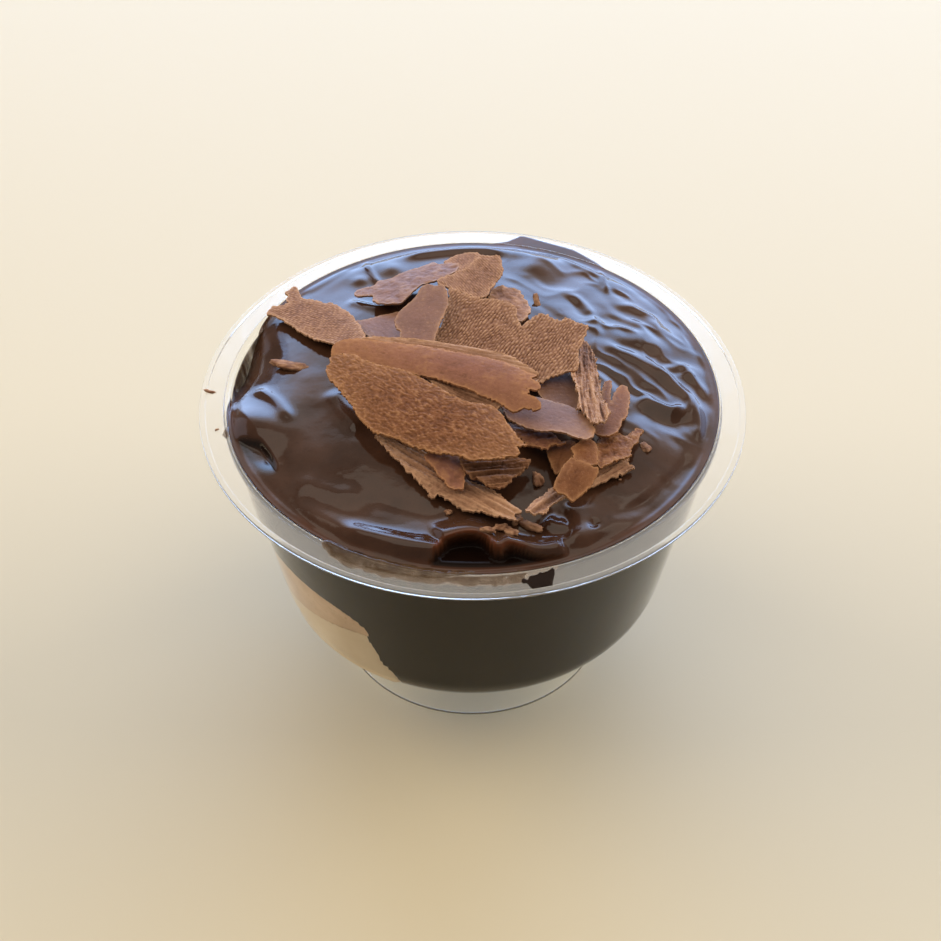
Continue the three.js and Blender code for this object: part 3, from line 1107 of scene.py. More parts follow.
RIGHT_STROKES = (
    Stroke(((596, 337), (612, 349), (628, 357), (642, 364), (655, 371), (668, 382), (678, 393), (685, 405)),
           0.7, 1.3, 1.6),
    Stroke(((655, 367), (668, 377), (680, 389), (689, 402), (687, 418)), 0.35, 0.6, 0.7),
    Stroke(((638, 394), (650, 402), (662, 408), (674, 411), (686, 406)), 0.7, 0.9, 1.1),
    Stroke(((632, 404), (652, 418), (674, 424), (692, 416)), -0.6, 1.5, 2.2),
    Stroke(((610, 306), (630, 309), (644, 316), (655, 327), (664, 333), (678, 341)), 0.4, 1.2, 1.2),
    Stroke(((655, 371), (672, 369), (684, 369), (694, 380), (704, 392), (711, 400)), 0.5, 0.9, 1.0),
    Stroke(((678, 387), (690, 396), (697, 410), (700, 425), (697, 444)), 0.5, 0.9, 1.0),
    Stroke(((612, 343), (638, 351), (658, 363)), -0.3, 1.5, 1.2),
    Stroke(((612, 520), (650, 498), (680, 470), (694, 450)), -0.35, 1.2, 1.5),
)
BACK_STROKES = (
    Stroke(((553, 256), (575, 265), (600, 278)), 0.5, 0.8, 0.9),
    Stroke(((599, 268), (604, 282), (608, 296)), 0.5, 0.5, 0.5),
    Stroke(((560, 292), (578, 300), (592, 316), (600, 340)), 0.5, 1.0, 1.0),
    Stroke(((362, 258), (371, 273), (380, 286)), 0.5, 0.6, 0.7),
    Stroke(((398, 258), (440, 252), (480, 250), (512, 252)), 0.5, 1.2, 1.2),
    Stroke(((300, 296), (325, 282), (352, 268)), 0.5, 0.8, 1.0),
    Stroke(((345, 300), (375, 308), (400, 306)), 0.4, 1.0, 1.2),
)


@dataclass(frozen=True)
class Lump:
    """Rounded lump in the sauce, or a dimple where the height is negative."""

    place: Pair
    height: float
    spread: float


LUMPS = (
    Lump((470, 540), 0.5, 4.0),
    Lump((258, 432), 1.4, 5.0),
    Lump((238, 422), 0.9, 3.5),
    Lump((541, 268), 1.4, 4.0),
    Lump((392, 270), 0.6, 2.2),
    Lump((360, 281), 0.5, 1.6),
    Lump((655, 345), 0.8, 4.5),
    Lump((594, 524), -0.5, 0.7),
)


@dataclass(frozen=True)
class Notch:
    """Step in the sauce: inside its trace the surface is down at a floor.

    Rise is how far its crest stands above the mound, dark how black the painted shade on its face is, shade
    how black the painted shade on its floor is beside that, and thin how red the crest is where light gets
    through.
    The step fades out at a reach from its heart. The painted shade darkens a face as its drop goes through
    one range, and a floor as the step does through another.
    """

    trace: Trace
    floor: float
    rise: float
    dark: float
    shade: float
    thin: float
    heart: Pair
    reach: float
    soft: float = 0.8
    fade: float = 0.4
    face_shade_drop: Pair = (0.3, 0.9)
    floor_shade_step: Pair = (0.1, 0.5)
    thin_width: float = 0.45
    thin_end: Pair = (0.97, 0.93)


# The front notch gets painted shade on its face and floor, the left one on its face only.
NOTCHES = (
    Notch(((431, 553), (436, 541), (445, 535), (458, 532), (470, 531), (481, 532), (489, 535), (495, 540),
           (500, 548), (504, 543), (512, 541), (522, 543), (530, 548), (537, 551), (546, 552), (556, 551),
           (567, 549), (570, 560), (545, 568), (520, 571), (480, 574), (450, 573), (430, 570), (424, 562)),
          floor=57.9, rise=1.2, dark=1.0, shade=1.0, thin=0.6, heart=(495, 555), reach=60.0),
    Notch(((228, 427), (240, 431), (250, 434), (262, 436), (270, 444), (277, 455), (281, 470), (284, 488),
           (270, 494), (256, 484), (245, 468), (236, 450), (230, 437)),
          floor=57.7, rise=1.8, dark=1.0, shade=0.0, thin=0.0, heart=(258, 441), reach=9.5, soft=1.0),
)


@dataclass(frozen=True)
class Wrinkles:
    """Irregular folds in the skin of the sauce at the right and the back."""

    turn: float = -42.0
    length: float = 8.0
    width: float = 4.2
    depth: float = 2.2
    bend: float = 1.6
    bend_pitch: float = 7.0
    angle: float = 28.0
    spread: float = 42.0

    def height(self, x: Array, y: Array) -> Array:
        """Height of the folds.

        Args:
            x, y: Places in plan.

        Returns:
            Heights from about -1 to 1.
        """
        along, across = turned(x, y, self.turn)
        bend = self.bend * Noise(Seed.FOLD_BEND).layered(x / self.bend_pitch, y / self.bend_pitch, 2)
        crests = np.abs(Noise(Seed.FOLD).layered(along / self.length, (across + bend) / self.width, 2))
        return (1.0 - self.depth * crests) * bell(turn_between(bearing(x, y), self.angle), self.spread)


@dataclass(frozen=True)
class Streaks:
    """Reddish streaks that run down the wall below the front of the flange."""

    amount: float = 0.4
    width: float = 2.0
    length: float = 14.0
    angle: float = 270.0
    spread: float = 24.0
    heights: Pair = (47.0, 55.0)

    def share(self, points: Array) -> Array:
        """How red the sauce is.

        Args:
            points: Points on the sides of the sauce.

        Returns:
            Shares from 0 to 1.
        """
        x, y, z = points.T
        turn = turn_between(bearing(x, y), self.angle)
        streak = np.clip(Noise(Seed.STREAK).layered(turn / self.width, z / self.length, 3), 0.0, 1.0)
        return self.amount * streak * bell(turn, self.spread) * smooth_step(z, *self.heights)


@dataclass
class Sauce:
    """Dark chocolate sauce that fills the bowl up to a spooned mound."""

    cup: Cup
    level: float = 57.8
    mound_top: float = 62.0
    mound_power: float = 2.4
    relief_power: float = 40.0
    dip_angle: float = 169.0
    dip_spread: float = 11.0
    dip_depth: float = 4.4
    dip_power: float = 11.0
    swells: tuple[Triple, ...] = ((266.0, 28.0, 2.0), (85.0, 45.0, 0.7))
    swell_share: float = 0.945
    swell_width: float = 0.05
    unevenness: float = 0.16
    uneven_pitch: float = 9.0
    ripple: float = 0.015
    ripple_pitch: float = 2.2
    crumple: float = 0.32
    crumple_start: Pair = (0.4, 0.65)
    into_wall: Pair = (0.06, 0.3)
    creep: float = 0.25
    creep_width: float = 0.015
    thin_edge: float = 0.1
    thin_edge_start: float = 0.97
    thin_edge_pitch: float = 3.0
    # How much a thin, red crest holds back the painted shade.
    thin_over_shade: float = 0.7
    # Front faces under enough painted shade take the dull crease finish.
    crease_front: float = 0.6
    crease_shade: float = 0.1
    lip: float = 0.9
    sectors: int = 480
    rings: int = 140
    ring_power: float = 0.8
    floor_rings: Pair = (0.34, 0.67)
    corner_rings: int = 9
    wall_rings: int = 34
    wall_end: float = 0.1
    tongue: Curve = ((55.0, 58.6, 65.0, 71.6, 75.0, 78.5, 80.0, 82.0, 85.0),
                     (0.0, 1.0, 2.45, 2.7, 3.1, 3.6, 2.4, 0.9, 0.0))
    tongue_thick: float = 0.12
    patch_top: Curve = ((150.0, 215.0, 225.0, 236.0, 242.0), (44.0, 42.5, 40.5, 36.3, 34.0))
    patch_side: Curve = ((16.0, 21.0, 26.7, 34.0), (251.0, 248.0, 243.6, 242.0))
    patch_ragged: float = 0.7
    patch_pitches: Pair = (6.0, 4.0)
    patch_soft: float = 0.4
    wrinkles: Wrinkles = Wrinkles()
    streaks: Streaks = Streaks()
    strokes: tuple[Stroke, ...] = FRONT_STROKES + LEFT_STROKES + RIGHT_STROKES + BACK_STROKES
    lines: list[Array] = field(init=False)
    lump_places: Array = field(init=False)
    notch_borders: list[Border] = field(init=False)
    notch_hearts: Array = field(init=False)

    def __post_init__(self) -> None:
        """Lays the strokes, the lumps and the notches on the mound."""
        self.lines = [
            smooth_line(VIEW.onto(stroke.trace, self.mound, self.level), stroke.steps)
            for stroke in self.strokes
        ]
        self.lump_places = VIEW.onto([lump.place for lump in LUMPS], self.mound, self.level)
        self.notch_borders = [
            Border(VIEW.onto(notch.trace, lambda x, y: self.mound(x, y) + notch.rise, self.level))
            for notch in NOTCHES
        ]
        self.notch_hearts = VIEW.onto([notch.heart for notch in NOTCHES], self.mound, self.level)

    def dip(self, x: Array, y: Array) -> Array:
        """How far the sauce is down at the wall, in the direction of a place."""
        return self.dip_depth * bell(turn_between(bearing(x, y), self.dip_angle), self.dip_spread)

    def share(self, x: Array, y: Array) -> Array:
        """How far out a place is, from 0 in the middle to 1 at the wall."""
        return np.minimum(np.hypot(x, y) / self.cup.inside_radius(self.level), 1.0)

    def mound(self, x: Array, y: Array) -> Array:
        """Height of the mound without its strokes.

        Args:
            x, y: Places in plan.

        Returns:
            Heights at those places.
        """
        share, turn = self.share(x, y), bearing(x, y)
        rise = self.level + (self.mound_top - self.level) * (1.0 - share**self.mound_power)
        ring = bell(share - self.swell_share, self.swell_width) * (1.0 - share**self.relief_power)
        for angle, spread, height in self.swells:
            rise += height * ring * bell(turn_between(turn, angle), spread)
        return rise - self.dip(x, y) * share**self.dip_power

    def surface(self, x: Array, y: Array) -> tuple[Array, dict[str, Array]]:
        """Surface of the sauce at some places.

        Args:
            x, y: Places in plan.

        Returns:
            Points of the surface, moved over where a crest leans, and masks that say how thin the sauce is
            there and how much painted shade darkens it.
        """
        share = self.share(x, y)
        inside = 1.0 - share**self.relief_power
        pitch, fine = self.uneven_pitch, self.ripple_pitch
        relief = self.unevenness * Noise(Seed.MOUND).layered(x / pitch, y / pitch, 2)
        relief += self.ripple * Noise(Seed.RIPPLE).layered(x / fine, y / fine, 2)
        relief += self.crumple * self.wrinkles.height(x, y) * smooth_step(share, *self.crumple_start)
        for lump, place in zip(LUMPS, self.lump_places):
            relief += lump.height * bell(away(x, y, place), lump.spread)
        lean = np.zeros(x.shape + (2,))
        thin, painted_shade = np.zeros(x.shape), np.zeros(x.shape)
        for stroke, line in zip(self.strokes, self.lines):
            amount, right = stroke.share(line, x, y)
            relief += stroke.height * amount
            lean += (stroke.lean * amount**2)[..., None] * right
        creep = self.creep * bell(1.0 - share, self.creep_width)
        height = self.mound(x, y) + relief * inside + creep
        for notch, border, heart in zip(NOTCHES, self.notch_borders, self.notch_hearts):
            gap = border.distance(x, y)
            fade = smooth_step(away(x, y, heart), notch.reach, notch.fade * notch.reach)
            down = smooth_step(-gap, 0.0, notch.soft) * inside * fade
            drop = np.maximum(height - notch.floor, 0.0)
            # Painted shade: a step's face, and its floor where the notch asks, are darkened as if in shadow.
            face = 4.0 * down * (1.0 - down) * smooth_step(drop, *notch.face_shade_drop)
            floor = notch.shade * smooth_step(down, *notch.floor_shade_step)
            painted_shade = np.maximum(painted_shade, notch.dark * np.maximum(face, floor))
            height = height - drop * down
            crest = bell(gap, notch.thin_width) * smooth_step(share, *notch.thin_end)
            thin = np.maximum(thin, notch.thin * crest)
        shifted = np.stack([x, y], -1) + lean * inside[..., None]
        uneven = 1.0 + Noise(Seed.SAUCE_EDGE).layered(x / self.thin_edge_pitch, y / self.thin_edge_pitch)
        edge = self.thin_edge * smooth_step(share, self.thin_edge_start, 1.0) * uneven
        masks = {"thin": thin + edge, "painted_shade": painted_shade * (1.0 - self.thin_over_shade * thin)}
        masks = {name: np.clip(mask, 0.0, 1.0) for name, mask in masks.items()}
        return np.concatenate([shifted, height[..., None]], -1), masks

    def top(self, x: Array, y: Array) -> Array:
        """Height of the sauce at places in plan."""
        return self.surface(x, y)[0][..., 2]

    def pressed(self, turn: Array, height: Array) -> Array:
        """How far the sauce reaches into the wall: less where the cream and the bun touch it.

        Args:
            turn: Directions from the axis, in radians.
            height: Heights on the wall.

        Returns:
            Depths into the wall.
        """
        turn = np.degrees(turn) % 360.0
        across, up = self.patch_pitches
        over = height - np.interp(turn, *self.patch_top)
        beside = (turn - np.interp(height, *self.patch_side)) * math.radians(self.cup.bowl_base_radius)
        uneven = self.patch_ragged * Noise(Seed.PATCH_EDGE).layered(turn / across, height / up, 2)
        gap = np.maximum(over, beside) + uneven
        return lerp(*self.into_wall, smooth_step(gap, -self.patch_soft, self.patch_soft))

    def section(self, turn: Array) -> tuple[Array, Array]:
        """Radius and height of each ring from the floor's middle up the wall and over its top.

        Args:
            turn: Directions from the axis, in radians.

        Returns:
            Two arrays with a row for each ring and a column for each direction.
        """
        cup, dip = self.cup, self.dip(np.cos(turn), np.sin(turn))
        edge = self.level + self.creep - dip
        floor = cup.floor - self.into_wall[0]
        corner = cup.bowl_corner - cup.wall
        corner_top = cup.bowl_base + cup.bowl_corner
        outer = cup.inside_radius(floor)
        ends = [
            np.array([outer - corner, floor]),
            np.array([outer, floor]),
            np.array([cup.inside_radius(corner_top), corner_top]),
        ]
        low = [np.array([ends[0][0] * share, floor]) for share in self.floor_rings]
        for share in np.linspace(0.0, 1.0, self.corner_rings):
            low.append(lerp(lerp(ends[0], ends[1], share), lerp(ends[1], ends[2], share), share))
        top = np.minimum(edge - self.wall_end, cup.wall_top)
        height = [np.full(turn.shape, point[1]) for point in low]
        height += [lerp(corner_top, top, step / self.wall_rings) for step in range(1, self.wall_rings + 1)]
        radius = [np.full(turn.shape, point[0]) for point in low]
        radius += [cup.inside_radius(level) for level in height[len(low):]]
        radius = [reach + self.pressed(turn, level) for reach, level in zip(radius, height)]
        free = 1.0 - dip / self.dip_depth
        tongue = np.interp(np.degrees(turn), *self.tongue)
        rim = cup.inside_radius(top) + self.into_wall[0] + (self.lip + tongue) * free
        lowest = cup.rim_surface(rim, np.zeros_like(rim)) + self.tongue_thick
        edge = np.where(tongue > 0.0, np.minimum(edge, lowest), edge)
        return np.array(radius + [rim]), np.array(height + [edge])

    def build(self, material: Material, behind: Material, crease: Material) -> Piece:
        """Makes the closed mesh of floor, wall and top.

        Args:
            material: Finish of the open top.
            behind: Finish of the sides and the floor, which touch the plastic: a much darker copy of the
                sauce, painted shade.
            crease: Finish of the front faces under the strongest painted shade, which reflects little.

        Returns:
            The dressed piece.
        """
        turn = full_turn(self.sectors)
        way_x, way_y = np.cos(turn), np.sin(turn)
        radius, height = self.section(turn)
        side = np.stack([radius * way_x, radius * way_y, height], -1).reshape(-1, 3)
        inward = np.linspace(1.0, 0.0, self.rings + 1)[1:-1] ** self.ring_power
        reach = inward[:, None] * radius[-1][None, :]
        cover, masks = self.surface(reach * way_x, reach * way_y)
        middle = self.top(np.zeros(1), np.zeros(1))[0]
        ends = np.array([[0.0, 0.0, height[0, 0]], [0.0, 0.0, middle]])
        points = np.vstack([side, cover.reshape(-1, 3), ends])
        quads, triangles = closed_rings(len(points) // self.sectors, self.sectors)
        sides = {"thin": self.streaks.share(side), "painted_shade": np.zeros(len(side))}
        masks = {
            name: np.concatenate([sides[name], mask.ravel(), np.zeros(2)])
            for name, mask in masks.items()
        }
        piece = new_piece("dark_sauce", points, quads, triangles, masks)
        # Front faces under strong painted shade get the dull crease finish.
        front = points[quads[:, 0], 1] < -self.crease_front * self.cup.bowl_top_radius
        creased = front & (masks["painted_shade"][quads].mean(1) > self.crease_shade)
        finish = np.concatenate([np.where(creased, 2, 0), np.zeros(len(triangles))])
        # Sides and floor take the darker copy of the sauce: painted shade.
        finish[:len(side) - self.sectors] = 1
        finish[len(quads):len(quads) + self.sectors] = 1
        return dress(piece, [material, behind, crease], "chocolate_sauce", finish)


@dataclass
class Filling:
    """Cream or bun that shows through the wall, pressed against it."""

    cup: Cup
    node: str
    name: str
    into_wall: float
    roughness: float
    seed: int
    grow: float = 0.35
    voxel: float = 0.55
    softening: int = 4
    near: float = 0.7
    bump_across: float = 4.0
    bump_up: float = 3.0

    def build(self, material: Material, slot: Slot) -> Piece:
        """Remeshes the solid evenly, presses it into the wall and floor, and roughens the rest.

        Args:
            material: Its finish.
            slot: Not used.

        Returns:
            The dressed piece.
        """
        rough = placed(self.name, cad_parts[self.node].data.copy())
        remesh = rough.modifiers.new("Even mesh", "REMESH")
        remesh.mode = "VOXEL"
        remesh.voxel_size = self.voxel * MM
        smooth = rough.modifiers.new("Soften", "SMOOTH")
        smooth.iterations = self.softening
        evaluated = rough.evaluated_get(bpy.context.evaluated_depsgraph_get())
        mesh = bpy.data.meshes.new_from_object(evaluated)
        bpy.data.objects.remove(rough)
        points, normals = (fetched(mesh.vertices, key, 3) for key in ("co", "normal"))
        points = self.pressed((points / MM + self.grow * normals).astype(float))
        mesh.vertices.foreach_set("co", (points * MM).astype(np.float32).ravel())
        mesh.polygons.foreach_set("use_smooth", np.ones(len(mesh.polygons), bool))
        mesh.update()
        return dress(placed(self.name, mesh), [material], self.node)

    def pressed(self, points: Array) -> Array:
        """Moves the points that are near the bowl just into it, and roughens the others.

        Args:
            points: Points of the remeshed solid.

        Returns:
            The moved points.
        """
        x, y, z = points.T
        radius = np.hypot(x, y)
        wall = self.cup.inside_radius(z)
        at_wall = smooth_step(radius, wall - 2 * self.near, wall - self.near)
        up, across = z / self.bump_up, self.bump_across
        bumps = self.roughness * Noise(self.seed).layered(x / across + up, y / across - up)
        reach = lerp(radius + bumps, wall + self.into_wall, at_wall)
        low = smooth_step(z, self.cup.floor + 2 * self.near, self.cup.floor + self.near)
        height = lerp(z, self.cup.floor - self.into_wall, low)
        share = reach / np.maximum(radius, 1e-6)
        return np.stack([x * share, y * share, height], -1)


class Face(Enum):
    """How the face of a shaving broke or was cut."""

    SATIN = "cut smooth"
    GRAIN = "scraped into fine rows"
    KNURL = "pressed into rows of beads"
    FIBRE = "split into layers along its length"
    CRUMBLED = "broken rough"


class Tone(Enum):
    """Colours of the shavings."""

    TAN = "tan"
    ORANGE = "orange"
    ROSE = "rose"
    PINK = "pink"
    DARK = "dark"


@dataclass(frozen=True)
class Look:
    """What a shaving looks like: its outline in the picture, its face and its colour."""

    name: str
    face: Face
    tone: Tone
    trace: Trace
    relief: float = 0.06
    # Contrast sets the strength of the painted highlight on raised grain and the painted shade in hollows.
    contrast: float = 0.5
    ragged: float = 0.09
    row_turn: float = 0.0
    row_pitch: float = 0.5
    pitch: float = 0.14
    lift: float = 0.0
    gold: Pair = (0.0, 0.0)
    arch: float = 0.2
    on: Optional[str] = None


SHAVINGS = (
    Look("back_fold", Face.KNURL, Tone.TAN, relief=0.1, contrast=0.8, row_turn=60.0, trace=(
        (443, 262), (450, 258), (458, 255), (468, 253), (478, 253), (481, 256), (476, 262), (470, 270),
        (462, 275), (453, 277), (450, 272), (457, 268), (452, 265))),
    Look("under_front", Face.FIBRE, Tone.TAN, relief=0.3, contrast=0.6, ragged=0.15, gold=(0.7, 0.7), trace=(
        (373, 435), (386, 434), (400, 440), (420, 449), (440, 462), (458, 472), (468, 478), (478, 484),
        (488, 487), (497, 492), (505, 499), (515, 506), (522, 513), (515, 516), (518, 522), (504, 519),
        (490, 515), (475, 511), (465, 511), (458, 505), (445, 498), (437, 493), (431, 498), (428, 490),
        (415, 479), (405, 469), (395, 459), (385, 446), (378, 440))),
    Look("right_strip", Face.FIBRE, Tone.TAN, relief=0.25, contrast=0.8, ragged=0.15, pitch=0.12, trace=(
        (596, 468), (606, 464), (615, 459), (625, 456), (630, 458), (628, 463), (637, 468), (627, 471),
        (618, 476), (608, 480), (598, 485), (586, 489), (588, 476))),
    Look("right_grainy", Face.CRUMBLED, Tone.ORANGE, relief=0.15, contrast=0.8, ragged=0.16,
         pitch=0.12, trace=(
        (597, 440), (603, 435), (611, 434), (615, 435), (620, 434), (625, 437), (632, 433), (637, 429),
        (643, 430), (639, 437), (637, 442), (632, 448), (630, 456), (624, 459), (618, 459), (612, 462),
        (606, 466), (600, 469), (597, 464), (596, 450))),
    Look("front_chip", Face.FIBRE, Tone.TAN, relief=0.25, contrast=0.8, ragged=0.15, pitch=0.12, trace=(
        (523, 513), (529, 506), (535, 500), (541, 496), (546, 491), (553, 486), (558, 492), (568, 496),
        (562, 500), (553, 505), (545, 512), (537, 514), (529, 512))),
    Look("hollow_back", Face.SATIN, Tone.ORANGE, trace=(
        (545, 447), (556, 445), (566, 441), (576, 442), (576, 452), (571, 460), (563, 468), (556, 475),
        (552, 468), (549, 458))),
    Look("right_small", Face.SATIN, Tone.ORANGE, trace=(
        (571, 447), (577, 444), (583, 439), (592, 440), (597, 443), (597, 452), (598, 463), (592, 466),
        (583, 463), (574, 460), (573, 452))),
    Look("right_upright", Face.SATIN, Tone.ORANGE, trace=(
        (601, 396), (603, 386), (606, 381), (611, 381), (612, 387), (610, 396), (611, 404), (614, 394),
        (618, 387), (622, 385), (627, 387), (630, 394), (629, 408), (627, 415), (622, 421), (618, 433),
        (606, 437), (595, 434), (592, 427), (600, 420), (606, 412), (603, 404))),
    Look("left", Face.KNURL, Tone.TAN, relief=0.07, contrast=1.0, ragged=0.12, row_turn=80.0,
         row_pitch=0.52, pitch=0.125, lift=0.1, trace=(
        (294, 285), (298, 289), (300, 295), (303, 299), (318, 301), (326, 304), (331, 302), (342, 308),
        (350, 314), (357, 322), (361, 327), (366, 337), (362, 346), (346, 348), (336, 345), (325, 341),
        (317, 340), (309, 336), (303, 334), (297, 330), (292, 326), (283, 319), (278, 318), (272, 315),
        (267, 314), (269, 310), (273, 306), (279, 306), (285, 305), (290, 303), (286, 300), (289, 296),
        (285, 293), (290, 290))),
    Look("left_inner", Face.SATIN, Tone.PINK, trace=(
        (354, 321), (366, 320), (377, 317), (388, 315), (400, 311), (408, 320), (408, 338), (398, 344),
        (376, 344), (368, 336), (361, 329))),
    Look("back_left", Face.CRUMBLED, Tone.PINK, relief=0.08, contrast=0.45, lift=0.2, trace=(
        (354, 294), (357, 290), (364, 288), (373, 286), (378, 281), (390, 279), (404, 272), (420, 267),
        (428, 264), (433, 262), (440, 265), (450, 263), (460, 265), (457, 272), (447, 276), (438, 281),
        (425, 284), (417, 288), (409, 296), (401, 303), (390, 304), (378, 304), (372, 301), (374, 296),
        (366, 296), (357, 297))),
    Look("back", Face.KNURL, Tone.TAN, relief=0.14, contrast=0.9, ragged=0.14, row_turn=75.0, trace=(
        (480, 254), (490, 256), (498, 256), (502, 261), (503, 269), (502, 276), (497, 281), (491, 288),
        (487, 296), (478, 298), (470, 296), (463, 293), (455, 291), (448, 287), (439, 285), (436, 280),
        (446, 276), (456, 273), (466, 268), (474, 261))),
    Look("back_right", Face.CRUMBLED, Tone.TAN, relief=0.12, contrast=0.7, ragged=0.15, trace=(
        (488, 298), (492, 290), (500, 286), (512, 288), (520, 290), (523, 297), (527, 303), (531, 310),
        (528, 317), (521, 322), (513, 320), (507, 312), (498, 307))),
    Look("right_edge", Face.FIBRE, Tone.TAN, relief=0.5, contrast=0.9, ragged=0.2, pitch=0.12, trace=(
        (577, 343), (584, 339), (590, 345), (594, 351), (596, 362), (598, 373), (600, 386), (603, 397),
        (608, 407), (611, 415), (605, 421), (596, 425), (590, 422), (585, 416), (579, 408), (578, 398),
        (576, 386), (571, 376), (574, 360))),
    Look("hollow_left", Face.FIBRE, Tone.DARK, relief=0.4, contrast=0.9, pitch=0.12, trace=(
        (458, 456), (480, 458), (502, 457), (520, 457), (532, 462), (524, 470), (513, 478), (508, 485),
        (498, 489), (489, 487), (482, 482), (470, 476), (463, 468))),
    Look("middle_right", Face.SATIN, Tone.PINK, lift=0.3, trace=(
        (534, 384), (546, 377), (558, 372), (570, 374), (574, 384), (578, 396), (580, 408), (570, 412),
        (552, 406), (540, 396))),
    Look("right_smooth", Face.SATIN, Tone.ORANGE, contrast=0.9, lift=0.2, trace=(
        (565, 463), (571, 457), (577, 460), (585, 463), (592, 466), (599, 468), (597, 475), (590, 487),
        (584, 493), (577, 498), (572, 502), (568, 498), (564, 494), (559, 494), (553, 488), (556, 478),
        (560, 470))),
    Look("centre", Face.KNURL, Tone.TAN, relief=0.12, contrast=1.2, ragged=0.13, row_turn=84.0,
         row_pitch=0.54, pitch=0.125, trace=(
        (448, 288), (458, 291), (474, 297), (496, 300), (508, 302), (516, 308), (517, 320), (522, 328),
        (528, 321), (534, 317), (541, 313), (548, 315), (554, 319), (560, 321), (567, 317), (574, 321),
        (589, 326), (586, 334), (582, 343), (578, 351), (580, 362), (576, 371), (566, 371), (558, 375),
        (548, 378), (540, 383), (525, 380), (500, 369), (470, 359), (440, 352), (430, 350), (434, 340),
        (441, 325), (447, 311), (449, 300))),
    Look("centre_left", Face.SATIN, Tone.PINK, relief=0.04, lift=0.2, trace=(
        (399, 311), (406, 306), (413, 300), (418, 294), (420, 288), (426, 285), (434, 286), (441, 285),
        (447, 289), (449, 302), (445, 312), (440, 324), (434, 341), (428, 352), (410, 352), (399, 348),
        (400, 331), (396, 328), (394, 320))),
    Look("middle_ragged", Face.CRUMBLED, Tone.ROSE, relief=0.15, contrast=0.8, ragged=0.16,
         pitch=0.12, trace=(
        (506, 424), (520, 425), (545, 430), (553, 434), (557, 439), (561, 442), (567, 442), (562, 445),
        (550, 445), (547, 450), (538, 447), (530, 446), (521, 440), (512, 432))),
    Look("right_long", Face.SATIN, Tone.PINK, relief=0.04, gold=(0.0, 0.45), lift=0.2, trace=(
        (500, 404), (520, 398), (540, 397), (556, 402), (570, 406), (580, 411), (594, 418), (593, 425),
        (595, 430), (593, 437), (586, 440), (577, 438), (567, 434), (556, 431), (540, 431), (522, 426),
        (508, 419))),
    Look("front_drop", Face.CRUMBLED, Tone.ROSE, relief=0.08, contrast=0.6, ragged=0.13, trace=(
        (422, 455), (432, 451), (444, 450), (455, 453), (462, 460), (465, 472), (466, 481), (463, 489),
        (457, 490), (447, 487), (441, 477), (433, 467))),
    Look("ridge", Face.SATIN, Tone.ROSE, relief=0.06, contrast=0.8, ragged=0.1, pitch=0.13,
         gold=(0.6, 0.3), arch=0.7, trace=(
        (333, 348), (341, 343), (352, 341), (370, 342), (400, 345), (424, 347), (448, 351), (472, 355),
        (494, 359), (508, 364), (520, 369), (527, 373), (539, 378), (529, 380), (538, 385), (541, 391),
        (536, 394), (525, 390), (531, 396), (521, 395), (538, 400), (542, 409), (536, 412), (524, 408),
        (516, 412), (506, 408), (497, 402), (480, 396), (468, 390), (448, 384), (431, 379), (400, 374),
        (365, 366), (336, 362), (331, 355))),
    Look("front", Face.GRAIN, Tone.ORANGE, relief=0.07, contrast=0.8, ragged=0.12, row_turn=-6.0,
         row_pitch=0.36, pitch=0.125, gold=(0.35, 0.35), arch=0.5, trace=(
        (325, 370), (331, 365), (329, 360), (334, 356), (351, 354), (365, 361), (378, 365), (400, 369),
        (420, 377), (440, 387), (452, 396), (468, 403), (490, 405), (499, 410), (506, 421), (514, 433),
        (521, 442), (527, 447), (515, 448), (520, 454), (516, 458), (500, 460), (470, 461), (456, 456),
        (436, 453), (412, 446), (390, 436), (375, 433), (362, 421), (348, 401), (338, 390), (329, 380))),
)
LAYERS = (
    Look("ridge_back_layer", Face.FIBRE, Tone.TAN, relief=0.1, ragged=0.08, pitch=0.12, lift=-0.3,
         gold=(0.5, 0.5), on="ridge", trace=(
        (356, 340), (376, 337), (400, 338), (424, 340), (448, 343), (472, 347), (496, 351), (514, 357),
        (527, 366), (540, 374), (530, 378), (505, 368), (480, 361), (440, 354), (400, 349), (366, 346))),
    Look("ridge_front_layer", Face.FIBRE, Tone.TAN, relief=0.2, contrast=0.9, ragged=0.1, pitch=0.12,
         lift=-0.55, on="ridge", trace=(
        (424, 374), (450, 382), (470, 389), (490, 397), (502, 406), (494, 411), (474, 410), (456, 404),
        (440, 394))),
)


